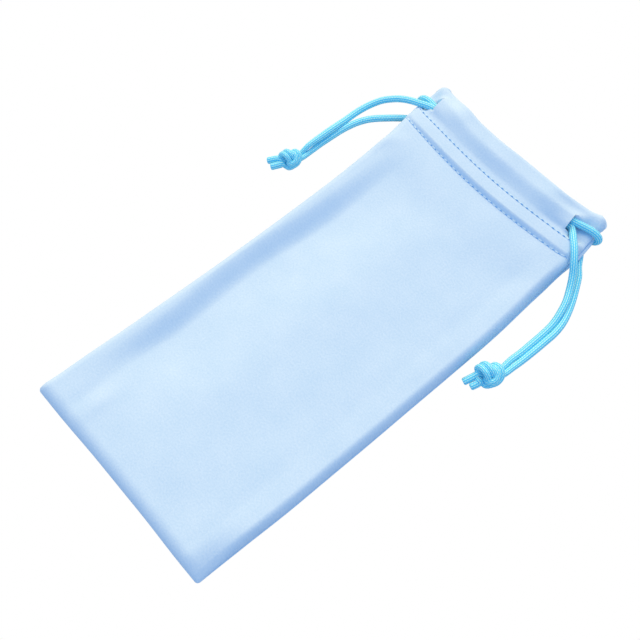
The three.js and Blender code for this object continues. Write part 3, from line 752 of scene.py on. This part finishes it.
# Knot: the two strands go in together, wrap twice round themselves and come out. Middle of the pair as
# (along, across, up) in millimetres, and which way is out of the knot there
KNOT_COURSE = np.array([
    (-5.2, 0.9, -1.9, 0, 0, 1),
    (-3.4, 0.8, -1.3, 0, 0, 1),
    (-1.4, 0.3, -0.8, 0, 0, 1),
    (0.6, -0.6, -1, 0.5, 0, 0.8),
    (1.6, -2.2, -1.6, 0.9, -0.3, -0.3),
    (1.4, -3.5, -0.3, 0.2, -1, 0),
    (0.9, -3.1, 1.4, 0, -0.8, 0.6),
    (0.7, -1.8, 2.7, 0, -0.2, 1),
    (0.5, 0, 2.9, 0, 0.3, 1),
    (0.3, 1.4, 1.8, 0, 0.8, 0.6),
    (0.1, 1.9, -0.4, 0, 1, -0.2),
    (-0.4, 1.2, -2.4, 0, 0.5, -1),
    (-1.3, -0.6, -2.8, 0, -0.2, -1),
    (-2, -1.9, -1.6, 0, -0.8, -0.6),
    (-2.2, -1.7, 0.4, 0, -1, 0.1),
    (-2.7, -0.4, 1.9, -0.3, -0.5, 0.8),
    (-2.9, 1.3, 2.1, -0.4, 0.1, 0.9),
    (-2.3, 2.9, 1.3, -0.4, 0.7, 0.6),
    (-0.8, 3.7, 0.4, -0.2, 1, 0.2),
    (1, 3.2, -0.4, 0.2, 1, 0.2),
    (1.9, 1.9, -1.5, 0.5, 0.6, 0.6),
    (2, 0.3, -1.9, 0.5, 0.1, 0.9),
    (3.2, -0.9, -1, 0, 0, 1),
])


def placed_knot(centre, exit_angle, size):
    """The two strands of a knot that lies on the table at a place, its ends leaving at an angle."""
    middle = KNOT_COURSE[:, :3]
    aside = np.cross(np.gradient(middle, axis=0), KNOT_COURSE[:, 3:])
    aside /= np.linalg.norm(aside, axis=1)[:, None]
    axes = np.array([
        (math.cos(exit_angle), math.sin(exit_angle), 0.0),
        (-math.sin(exit_angle), math.cos(exit_angle), 0.0),
        (0.0, 0.0, 1.0),
    ])
    lines = [size * MM * (middle + sign * KNOT_SPACING * aside) @ axes for sign in (1, -1)]
    lift = size * KNOT_STRAND / 2 - min(line[:, 2].min() for line in lines)
    return [line + np.array([*centre, lift]) for line in lines]


def drawn_together(front, back):
    """The two tails of a cord, closed up by the small gap that their solids keep."""
    pull = np.array((TAIL_PULL, 0, 0))
    return [point + pull for point in front], [point - pull for point in back]


def add_cord(label, hairpin, tails, ends, knot_place):
    """One cord: a knot with its two cut ends, two tails, and the hairpin in the casings."""
    knot = placed_knot(*knot_place)
    tails = drawn_together(*tails)
    course = [*ends[0][::-1], *knot[0][::-1], *tails[0][::-1], *hairpin, *tails[1], *knot[1], *ends[1]]
    line, marks = spline(course, CORD_STEP)
    step = np.linspace(0, marks[-1], len(line))
    sizes = [len(ends[0]) + len(knot[0]), len(tails[0]), len(hairpin), len(tails[1])]
    first_tail, first_pin, second_tail, second_knot = np.cumsum(sizes)
    ties = (
        (marks[len(ends[0])], KNOT_TAPER, marks[first_tail - 1], KNOT_PULL),
        (marks[second_knot], KNOT_PULL, marks[second_knot + len(knot[1]) - 1], KNOT_TAPER),
    )
    tight = sum(
        plateau(step, (start - lead, start + KNOT_TAPER), (end - KNOT_TAPER, end + trail))
        for start, lead, end, trail in ties
    )
    radius = mix(CORD_RADIUS, knot_place[-1] * KNOT_STRAND / 2, np.clip(tight, 0, 1))
    radius = cut_end(line, cut_end(line, radius, line[0]), line[-1])
    side, up = frames(line)
    borders = (first_tail, first_pin, second_tail - 1, second_knot - 1)
    limits = [0, *(np.abs(step - marks[k]).argmin() for k in borders), len(line) - 1]

    def run(k, caps=(False, False)):
        part = slice(limits[k], limits[k + 1] + 1)
        axes = side[part], up[part]
        return tube(line[part], radius[part], CORD_SIDES, BRAID_PITCH, step[part][0], axes, caps)

    points, faces, uv = joined([run(0, (True, False)), run(4, (False, True))])
    tie = add_mesh(f"{label}_tie", points, faces, cord_look, uv)
    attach(tie, label)
    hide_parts(f"{label}_knot", f"{label}_front_end", f"{label}_back_end")
    for k, name in ((1, "front_tail"), (2, "hairpin"), (3, "back_tail")):
        points, faces, uv = run(k)
        piece = add_mesh(f"{label}_{name}_braid", points, faces, cord_look, uv)
        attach(piece, label)
        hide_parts(f"{label}_{name}")
        path = line[limits[k] : limits[k + 1] + 1]
        if k == 1:
            # From the slit to the knot, as for the back tail
            path = path[::-1]


add_cord("right_cord", right_hairpin, (right_front_tail, right_back_tail), right_ends, RIGHT_KNOT)
add_cord("left_cord", left_hairpin, (left_front_tail, left_back_tail), left_ends, LEFT_KNOT)


# Cloth
def curve(y, stations):
    """A smooth curve through stations given in millimetres."""
    at, value = np.array(stations).T * MM
    slope = np.gradient(value, at)
    k = np.clip(np.searchsorted(at, y) - 1, 0, len(at) - 2)
    gap = at[k + 1] - at[k]
    t = np.clip((y - at[k]) / gap, 0, 1)
    return eased(t, value[k], gap * slope[k], value[k + 1], gap * slope[k + 1])


def corner_cut(radius, distance):
    depth = np.clip(radius - np.clip(distance, 0, None), 0, radius)
    return radius - np.sqrt(radius * radius - depth * depth)


def sides(y):
    """Middle and half width of the cloth at a place along the pouch."""
    left = curve(y, LEFT_EDGE)
    right = curve(y, RIGHT_EDGE) - LOOP_PINCH * hump(y, *LOOP_PINCH_Y)
    cut = corner_cut(BOTTOM_CORNER, y - BOTTOM_Y) + corner_cut(MOUTH_CORNER, MOUTH_Y - y)
    return (left + right) / 2, (right - left) / 2 - cut


def hem_rise(y):
    return smooth(y, *HEM_RISE_Y)


def casing_rise(y):
    return smooth(y, *CASING_RISE_Y)


def seam(y):
    return mix(mix(FOOT_SEAM, BODY_SEAM, smooth(y, *FOOT_SEAM_Y)), HEM_SEAM, hem_rise(y))


def left_bulge(x):
    return smooth(x, LEFT_SLIT_X - SLIT_SLOPE, LEFT_SLIT_X)


def right_bulge(x):
    return 1 - smooth(x, RIGHT_SLIT_X, RIGHT_SLIT_X + SLIT_SLOPE)


def strip_arch(x):
    return 1 - np.clip(np.abs(x) / HALF_WIDTH, 0, 1) ** STRIP_FLATNESS


def slit_open(y):
    rise = (SLIT_START_Y, SLIT_START_Y + SLIT_ROUND)
    return plateau(y, rise, (SLIT_END_Y - SLIT_ROUND, SLIT_END_Y))


def slit_fall(x):
    """How far the casing comes down over the cords towards the two slits."""
    return 1 - plateau(x, SLIT_FALL_LEFT, SLIT_FALL_RIGHT)


def parted_bulge(x, y, lips):
    """Share of the casing's height. The cloth parts at the slits, and a lip is true on their inner side."""
    near = slit_open(y)
    left, right = left_bulge(x), right_bulge(x)
    left = np.where(lips[0], left + (1 - left) * near, left * (1 - near))
    right = np.where(lips[1], right + (1 - right) * near, right * (1 - near))
    return left * right


def back_sag(x):
    return plateau(x, BACK_SAG_LEFT, BACK_SAG_RIGHT)


def front_dip(x):
    wide = FRONT_DIP * plateau(x, FRONT_DIP_LEFT, FRONT_DIP_RIGHT)
    return wide + MIDDLE_DIP * hump(x, *MIDDLE_DIP_X)


def back_dip(x):
    return BACK_SHORT + BACK_DIP * back_sag(x)


def ripples(x, y):
    """Soft unevenness of the loose cloth."""
    return sum(height * MM * np.sin((kx * x + ky * y) / MM + phase) for height, kx, ky, phase in RIPPLES)


def left_step(x, y):
    """The left rim stands above the rest of the body, most of all in the middle of the pouch."""
    strength = smooth(y, *VALLEY_START_Y) * (1 - smooth(y, *VALLEY_END_Y)) ** VALLEY_FADE
    wander = VALLEY_WANDER * np.sin(y / VALLEY_WAVE)
    middle = VALLEY_X + wander + VALLEY_SHIFT * smooth(y, *VALLEY_SHIFT_Y)
    down = smooth(x, middle - VALLEY_SLOPE, middle + VALLEY_SLOPE)
    valley = down * (1 - smooth(x, middle + VALLEY_FLOOR, 0))
    return strength * (LEFT_RIM_RISE * (1 - down) - LEFT_VALLEY * valley)


def creases(x, y):
    """Soft folds of the body, and the fall of the cloth to the bottom right corner."""
    fold = sum(height * hump(x, at * MM, width * MM) for height, at, width in CORNER_FOLDS)
    fold = fold * hump(y, *CORNER_FOLDS_Y)
    for height, point, across_ridge, width, middle, reach in SLANTED_FOLDS:
        offset = (x - point[0] * MM) * across_ridge[0] + (y - point[1] * MM) * across_ridge[1]
        fold = fold + height * hump(offset, 0, width * MM) * hump(x, middle * MM, reach * MM)
    corner = smooth(x, *CORNER_FALL_X) * (1 - smooth(y, *CORNER_FALL_Y))
    return fold * MM - CORNER_FALL * corner


def body_level(x, y, inset):
    """Height of the front's outside below the hem."""
    foot = y - BOTTOM_Y
    crown = smooth(inset, RIM_RADIUS, HALF_WIDTH) * smooth(foot, RIM_RADIUS, CROWN_REACH)
    level = mix(RIM_HEIGHT, RIM_NEAR_HEM, smooth(y, *RIM_CHANGE_Y)) + CROWN_RISE * crown
    level = level + left_step(x, y) + creases(x, y) + RIGHT_RIM_RISE * smooth(x, *RIGHT_RIM_X)
    level = level - RIGHT_FURROW * hump(x, *RIGHT_FURROW_X)
    level = level - FOOT_FALL * (1 - smooth(foot, *FOOT_FALL_REACH))
    return level + ripples(x, y) * smooth(inset, *RIPPLE_INSET) * smooth(foot, *RIPPLE_FOOT)


def casing_level(x, y, share):
    """Height of the front's casing, where share is how far it rises over its cords."""
    spots = sum(hump(x, at, reach) for at, reach in MOUTH_SPOTS)
    rise = MOUTH_RISE * (MOUTH_RISE_LEAST + MOUTH_RISE_SPOT * spots) - SLIT_FALL * slit_fall(x)
    top = CASING_TOP + rise * smooth(y, *MOUTH_SLOPE_Y)
    crest = smooth(y, *CREST_RISE_Y)
    side_top = SIDE_TOP + RIGHT_SIDE_RISE * (x > 0) + SIDE_RIM_RISE * crest
    return mix(side_top, top, mix(share, plateau(x, RIM_LEFT, RIM_RIGHT), crest))


def front_level(x, y, inset, share):
    """Height of the front's outside."""
    arch = strip_arch(x)
    strip_top = mix(STRIP_SIDE, STRIP_TOP, arch)
    hem = mix(strip_top, casing_level(x, y, share), smooth(y, *CASING_SLOPE_Y))
    hem = hem - mix(SIDE_STEP, ROW_STEP, arch) * (1 - smooth(y, *ROW_STEP_Y))
    crease = slit_fall(x) * hump(y, *SLIT_CREASE_Y) * hump(x, 0, HALF_WIDTH)
    grooves = hump(y, LOWER_ROW_Y, ROW_GROOVE_REACH) + hump(y, UPPER_ROW_Y, ROW_GROOVE_REACH)
    hem = hem - SLIT_CREASE * crease - ROW_GROOVE * grooves
    return mix(body_level(x, y, inset), hem, smooth(y, *HEM_SLOPE_Y))


def front_facing(x, y, inset):
    """Height of the turned-in hem behind the front."""
    casing = mix(SIDE_FRONT_FACING, FRONT_FACING, plateau(x, FACING_RISE_X, FACING_FALL_X))
    behind = front_level(x, y, inset, left_bulge(x) * right_bulge(x)) - 2 * CLOTH - LAYER_GAP
    return mix(behind, np.minimum(casing, behind), casing_rise(y))


def back_level(x, y, _inset, _share):
    """Height of the back's outside, which lies on the table but for the sides of its hem."""
    grooves = hump(y, LOWER_ROW_Y, BACK_GROOVE_REACH) + hump(y, UPPER_ROW_Y, BACK_GROOVE_REACH)
    sag = back_sag(x)
    return SIDE_BACK_BOTTOM * (1 - sag) * hem_rise(y) + BACK_GROOVE * grooves * sag


def back_facing(x, y, _inset):
    """Height of the turned-in hem over the back."""
    over = plateau(x, CROSSING_RISE_X, CROSSING_FALL_X)
    casing = mix(SIDE_BACK_FACING, BACK_FACING, back_sag(x)) + CROSSING_LIFT * over
    above = mix(SIDE_BACK_FACING, CLOTH + BACK_GROOVE + LAYER_GAP, back_sag(x))
    return mix(above, casing, casing_rise(y)) + CLOTH


def panel_columns(slits, rolls):
    """Columns of a panel: share of the flat width, side, roll angle, tuck angle and side of a slit."""
    middle, half = sides((LOW_LANE + HIGH_LANE) / 2 * MM)
    shares = np.linspace(-1, 1, COLUMNS)
    parting = np.zeros(COLUMNS, bool)
    for slit in slits:
        share = (slit - middle) / (half - rolls[slit > 0])
        nearest = np.abs(shares - share).argmin()
        shares[nearest] = share
        parting[nearest] = True
    columns = []
    for share, parts in zip(shares, parting):
        for lip in (-1, 1) if parts else (0,):
            columns.append((share, 0, math.pi / 2, 0, lip))
    ends = [(angle, 0.0) for angle in np.linspace(math.pi / 2, 0, ROLL_STEPS)[1:]]
    ends += [(0.0, turn) for turn in TUCK_TURNS]
    left = [(-1.0, -1, angle, tuck, 0) for angle, tuck in reversed(ends)]
    right = [(1.0, 1, angle, tuck, 0) for angle, tuck in ends]
    return np.array(left + columns + right).T[:, None]


def panel_rows(foot_roll):
    """Rows of a panel: from the bottom seam up its outside, round the mouth and down its facing."""
    feet = [(0.0, turn) for turn in reversed(TUCK_TURNS)]
    feet += [(turn, 0.0) for turn in np.linspace(0, math.pi / 2, ROLL_STEPS)[:-1]]
    body = np.arange(BOTTOM_Y + foot_roll, FINE_ROWS_Y, BODY_ROW)
    hem = np.r_[np.arange(FINE_ROWS_Y, CREST_Y, HEM_ROW), LOWER_ROW_Y, UPPER_ROW_Y]
    plain = np.r_[body, np.unique(np.round(hem, 6))]
    folds = np.linspace(math.pi / 2, -math.pi / 2, FOLD_STEPS)
    backs = np.linspace(0, 1, FACING_STEPS)[1:]
    starts = np.cumsum([0, len(feet), len(plain), len(folds), len(backs)])
    at_foot, at_plain, at_fold, at_back = (slice(a, b) for a, b in zip(starts[:-1], starts[1:]))
    foot = np.full((starts[-1], 1), math.pi / 2)
    foot_tuck = np.zeros((starts[-1], 1))
    fold = np.full((starts[-1], 1), math.pi / 2)
    inside = np.zeros((starts[-1], 1))
    foot[at_foot, 0], foot_tuck[at_foot, 0] = np.array(feet).T
    fold[at_fold, 0] = folds
    fold[at_back] = -math.pi / 2
    inside[at_back, 0] = np.clip(FACING_INSET_RATE * backs, 0, 1)
    return SimpleNamespace(
        at_foot=at_foot, at_plain=at_plain, at_fold=at_fold, at_back=at_back, plain=plain, backs=backs,
        foot=foot, foot_tuck=foot_tuck, fold=fold, inside=inside)


def tucked(turn):
    """How far in a point lies as the cloth turns in at a seam, and how far it still stands off it."""
    quarter = np.minimum(turn, math.pi / 2)
    return SEAM_LIP * (1 - np.cos(quarter)) + SEAM_TUCK * (turn > math.pi / 2), 1 - np.sin(quarter)


def edge_step(x, y):
    """How far the front's right edge lies in from the back's."""
    step = mix(BODY_EDGE_STEP, UPPER_EDGE_STEP, smooth(y, *EDGE_STEP_UPPER))
    step = mix(step, HEM_EDGE_STEP, smooth(y, *EDGE_STEP_HEM))
    return step * plateau(y, EDGE_STEP_START, EDGE_STEP_END) * smooth(x, *EDGE_STEP_X)


def hem_place(place, x, crest, sign):
    """Where rows lie along the pouch: the front's rows of stitching bow, and the mouth dips."""
    bow = ROW_BOW * (x / HALF_WIDTH) ** 2
    low = LOWER_ROW_MIDDLE + bow if sign == FRONT else LOWER_ROW_Y
    high = UPPER_ROW_MIDDLE + bow if sign == FRONT else UPPER_ROW_Y
    below = place + (low - LOWER_ROW_Y) * smooth(place, ROW_BOW_START_Y, LOWER_ROW_Y)
    between = low + (high - low) * (place - LOWER_ROW_Y) / (UPPER_ROW_Y - LOWER_ROW_Y)
    casing = high + (crest - high) * (place - UPPER_ROW_Y) / (CREST_Y - UPPER_ROW_Y)
    return np.where(place < LOWER_ROW_Y, below, np.where(place < UPPER_ROW_Y, between, casing))


def seam_stand(place, inset, lip):
    """How far the cloth stands off the seam, least at the corners."""
    ends = np.maximum(hump(place, BOTTOM_Y, CLOSED_CORNER), smooth(place, CLOSED_CORNER_Y, CREST_Y))
    return SEAM_LIP * lip * (1 - CLOSED_SHARE * ends * hump(inset, 0, CLOSED_CORNER)) + SEAM_GAP


def grid_normals(points, lip, sign):
    """The way out of the cloth at each point of a grid, apart on the two lips of a slit."""
    across_rows = np.gradient(points, axis=1)
    along_rows = np.gradient(points, axis=0)
    for j in np.flatnonzero(lip < 0):
        across_rows[:, j] = points[:, j] - points[:, j - 1]
        across_rows[:, j + 1] = points[:, j + 2] - points[:, j + 1]
    normal = sign * np.cross(across_rows, along_rows)
    return normal / np.maximum(np.linalg.norm(normal, axis=2), SHORTEST)[..., None]


def panel(sign, rolls, foot_roll, slits, dip_at, level_at, facing_at):
    """Grid of points over a panel, its normals and what the pieces made from it need to know."""
    share, side, angle, tuck, lip = panel_columns(slits, rolls)
    rows = panel_rows(foot_roll)
    foot_in, foot_lip = tucked(rows.foot_tuck)
    side_in, side_lip = tucked(tuck)
    side_roll = np.where(share < 0, *rolls)
    rough = share * (HALF_WIDTH - side_roll) + side * side_roll
    dip = dip_at(rough)
    crest = MOUTH_Y - dip - MOUTH_ROLL

    # Along the pouch
    place = np.full((len(rows.foot), share.size), CREST_Y)
    place[rows.at_foot] = BOTTOM_Y + foot_roll * (1 - np.cos(rows.foot[rows.at_foot]))
    place[rows.at_plain] = rows.plain[:, None]
    y = place.copy()
    y[rows.at_plain] = hem_place(place[rows.at_plain], rough, crest, sign)
    y[rows.at_fold] = crest + MOUTH_ROLL * np.cos(rows.fold[rows.at_fold])
    y[rows.at_back] = mix(crest, HEM_START_Y - dip, rows.backs[:, None])

    # Across it
    middle, half = sides(np.minimum(y + dip * (rows.fold < math.pi / 2), MOUTH_Y))
    turn_in = side_in * (1 - smooth(y, *TUCK_END_Y)) + foot_in
    edge = side * (half - side_roll * (1 - np.cos(angle)) - turn_in)
    x = np.where(side == 0, share * (half - side_roll), edge)
    x = middle + x * (1 - rows.inside * FACING_INSET / HALF_WIDTH)
    if sign == FRONT:
        x = x - edge_step(x, y)

    # Heights
    near_left = share < 0
    lips = (
        np.where((lip != 0) & near_left, lip > 0, x > LEFT_SLIT_X),
        np.where((lip != 0) & ~near_left, lip < 0, x < RIGHT_SLIT_X),
    )
    inset = half - np.abs(x - middle)
    level = level_at(x, place, inset, parted_bulge(x, place, lips))
    folded = mix(facing_at(x, y, inset), level, (1 + np.sin(rows.fold)) / 2)
    stand = seam_stand(place, inset, np.minimum(side_lip, foot_lip))
    base = seam(y) + sign * (stand + rows.inside * CLOTH)
    z = mix(base, folded, np.sin(angle) * np.sin(rows.foot))
    bow = BOTTOM_BOW * smooth(np.abs(x), *BOTTOM_BOW_X) * (1 - smooth(y, *BOTTOM_BOW_Y))
    reach = CORNER_REACH * smooth(x, *CORNER_REACH_X) * smooth(y, *CORNER_REACH_Y)
    points = np.stack([x, y + foot_in - bow + reach, z], 2)
    nearest = [np.abs(rows.plain - row).argmin() for row in (LOWER_ROW_Y, UPPER_ROW_Y)]
    return SimpleNamespace(
        points=points, normal=grid_normals(points, lip[0], sign), lip=lip[0], share=share[0],
        stitched=[rows.at_plain.start + k for k in nearest], sign=sign, plain=tuck[0] == 0)


def cloth_half(name, grid, columns):
    """One half of a panel as a closed sheet of cloth."""
    points, normal, lip = grid.points, grid.normal, grid.lip
    rows = len(points)
    keep = np.arange(points.shape[1])[columns]
    middle = points[:, points.shape[1] // 2]
    run = np.r_[0, np.cumsum(np.linalg.norm(np.diff(middle, axis=0), axis=1))]
    gap = np.r_["1", np.zeros((rows, 1)), np.linalg.norm(np.diff(points, axis=1), axis=2)]
    ids = np.zeros(points.shape[:2], int)
    outer, normals, uv = [], [], []
    for i in range(rows):
        for j in keep:
            if lip[j] > 0 and gap[i, j] < SLIT_CLOSED:
                # The lips of a slit are one where it is closed
                ids[i, j] = ids[i, j - 1]
                continue
            ids[i, j] = len(outer)
            outer.append(points[i, j])
            normals.append(normal[i, j])
            uv.append((points[i, j, 0], run[i]))
    outer, normals, uv = map(np.array, (outer, normals, uv))
    count = len(outer)
    pairs = [(a, b) for a, b in zip(keep[:-1], keep[1:]) if not lip[b] > 0]
    faces = [
        (ids[i, a], ids[i, b], ids[i + 1, b], ids[i + 1, a])
        for i in range(rows - 1) for a, b in pairs
    ]
    if grid.sign == BACK:
        faces = [face[::-1] for face in faces]
    edges = {edge for face in faces for edge in zip(face, face[1:] + face[:1])}
    walls = [(b, a, a + count, b + count) for a, b in sorted(edges) if (b, a) not in edges]
    inner = [tuple(k + count for k in face[::-1]) for face in faces]
    whole = [tuple(map(int, face)) for face in faces + inner + walls]
    return add_mesh(
        name, np.vstack([outer, outer - CLOTH * normals]), whole, cloth_look,
        np.vstack([uv, uv]), np.vstack([normals, -normals]))


def gather(piece):
    """Moves the piece's transform into its mesh."""
    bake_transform(piece)


front_grid = panel(
    FRONT, (RIM_RADIUS, RIGHT_RIM_RADIUS), FOOT_RADIUS, (LEFT_SLIT_X, RIGHT_SLIT_X),
    front_dip, front_level, front_facing)
back_grid = panel(BACK, (BACK_ROLL, BACK_ROLL), BACK_ROLL, (), back_dip, back_level, back_facing)
for label, grid in (("front", front_grid), ("back", back_grid)):
    middle = int(np.abs(grid.share).argmin())
    for side, name, columns in ((-1, "left", slice(0, middle + 1)), (1, "right", slice(middle, None))):
        piece = cloth_half(f"{label}_{name}_cloth", grid, columns)
        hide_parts(f"{label}_panel", f"{label}_hem_facing")
        gather(piece)


# Stitches
def stitch(a, b, normal, rise, sink, shade=PLAIN_SHADE):
    """A short thread that rises out of the cloth and dives into it again."""
    t = np.linspace(0, 1, STITCH_STEPS)[:, None]
    arch = np.sin(np.pi * t)
    line = mix(a, b, t) + normal * (rise * arch**RISE_POWER - sink * (1 - arch**SINK_POWER))
    points, faces, uv = tube(line, THREAD_RADIUS, THREAD_SIDES, 1.0)
    uv[:, 1] = mix(*shade, uv[:, 1] / uv[:, 1].max())
    return points, faces, uv


def stitches_along(grid, row, side, shade):
    """The stitches of one half of a row."""
    points, normal = grid.points[row][grid.plain], grid.normal[row][grid.plain]

    def at(x, values):
        return np.array([np.interp(x, points[:, 0], values[:, k]) for k in range(3)])

    parts = []
    count = math.ceil(HALF_WIDTH / STITCH_PITCH)
    for k in range(-count, count):
        x = (k + 0.5) * STITCH_PITCH
        if x * side < 0 or not ROW_LEFT_X < x < ROW_RIGHT_X:
            continue
        half = STITCH_FILL * STITCH_PITCH / 2
        a, b = at(x - half, points), at(x + half, points)
        parts.append(stitch(a, b, at(x, normal), STITCH_RISE, STITCH_SINK, shade))
    return parts


for side, label in ((-1, "left"), (1, "right")):
    parts = []
    for grid in (front_grid, back_grid):
        for row, shade in zip(grid.stitched, (PLAIN_SHADE, DOTTED_SHADE)):
            parts += stitches_along(grid, row, side, shade)
    points, faces, uv = joined(parts)
    piece = add_mesh(f"{label}_hem_stitches", points, faces, thread_look, uv)
    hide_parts("front_lower_stitching", "front_upper_stitching",
                "back_lower_stitching", "back_upper_stitching")
    gather(piece)


# Seam allowances and their thread
def strip(line, inward, half_height):
    """A folded strip of cloth along a line: a rounded outer edge and two layers that lie together."""
    profile = [(0, 0), *ALLOWANCE_HALF, *((a, -b) for a, b in reversed(ALLOWANCE_HALF))]
    points, faces = [], []
    wide = len(profile)
    for i, p in enumerate(line):
        wave = ALLOWANCE_WAVE * math.sin(ALLOWANCE_TURN * i)
        for a, b in profile:
            points.append(p + inward[i] * a * ALLOWANCE + np.array([0, 0, b * half_height + wave * a]))
    for i in range(len(line) - 1):
        for j in range(wide):
            a, b = i * wide + j, i * wide + (j + 1) % wide
            faces.append((a, b, b + wide, a + wide))
    faces.append(tuple(range(wide))[::-1])
    faces.append(tuple(range((len(line) - 1) * wide, len(line) * wide)))
    points = np.array(points)
    return points, faces, points[:, :2]


def seam_thread(line, inward):
    """A row of stitches along the upper side of a seam allowance."""
    up = np.array([0, 0, 1.0])
    course = line + inward * SEAM_THREAD_IN + up * SEAM_THREAD_UP
    parts = []
    for a, b in zip(course[:-1], course[1:]):
        start, end = (mix(a, b, share) for share in SEAM_STITCH_ENDS)
        parts.append(stitch(start, end, up, SEAM_STITCH_RISE, SEAM_STITCH_SINK))
    return joined(parts)


def seam_pieces(label, line, inward, side):
    points, faces, uv = strip(line, inward, CLOTH + LAYER_GAP / 2)
    cloth = add_mesh(f"{label}_seam_allowance_cloth", points, faces, cloth_look, uv)
    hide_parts(f"{label}_seam_allowance")
    points, faces, uv = seam_thread(line, inward)
    thread = add_mesh(f"{label}_seam_stitches", points, faces, thread_look, uv)
    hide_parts(f"{label}_seam_thread")
    for piece in (cloth, thread):
        if side:
            gather(piece)
        else:
            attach(piece, "pouch")


for side, label in ((-1, "left"), (1, "right")):
    ys = np.arange(*SIDE_SEAM_Y, SEAM_PITCH)
    middle, half = sides(ys)
    line = np.stack([middle + side * (half - ALLOWANCE_INSET), ys, seam(ys)], 1)
    seam_pieces(label, line, np.tile([-side, 0.0, 0.0], (len(ys), 1)), side)
xs = np.arange(*BOTTOM_SEAM_X, SEAM_PITCH)
line = np.stack([xs, 0 * xs + BOTTOM_Y + ALLOWANCE_INSET, 0 * xs + BODY_SEAM], 1)
seam_pieces("bottom", line, np.tile([0.0, 1.0, 0.0], (len(xs), 1)), 0)


# Floor and light: to the camera the floor is plain white, and to the pouch it is grey paper
bpy.ops.mesh.primitive_plane_add(size=2 * FLOOR_HALF, location=(0, 0, -FLOOR_DROP))
floor = bpy.context.object
floor.name = "floor"
floor_look, tree, shader = node_material("paper")
set_inputs(shader, {"Base Color": PAPER_COLOUR, "Roughness": 1})
glow = tree.nodes.new("ShaderNodeEmission")
set_inputs(glow, {"Color": (1, 1, 1, 1), "Strength": 1})
seen = tree.nodes.new("ShaderNodeLightPath")
blend = tree.nodes.new("ShaderNodeMixShader")
tree.links.new(seen.outputs["Is Camera Ray"], blend.inputs["Fac"])
tree.links.new(shader.outputs["BSDF"], blend.inputs[1])
tree.links.new(glow.outputs["Emission"], blend.inputs[2])
tree.links.new(blend.outputs["Shader"], tree.nodes["Material Output"].inputs["Surface"])
floor.data.materials.append(floor_look)

world = bpy.data.worlds.new("studio")
bpy.context.scene.world = world
world.use_nodes = True
set_inputs(world.node_tree.nodes["Background"], {"Color": SKY_COLOUR, "Strength": 1})

key_data = bpy.data.lights.new("key", "SUN")
key_data.energy = KEY_STRENGTH
key_data.color = KEY_COLOUR
key_data.angle = KEY_SPREAD
key = add_object("key", key_data)
towards_key = direction(VIEW_AZIMUTH + math.pi, KEY_ELEVATION)
key.rotation_euler = towards_key.to_track_quat("Z", "Y").to_euler()

bpy.context.scene.view_settings.view_transform = "Standard"

bpy.context.view_layer.update()
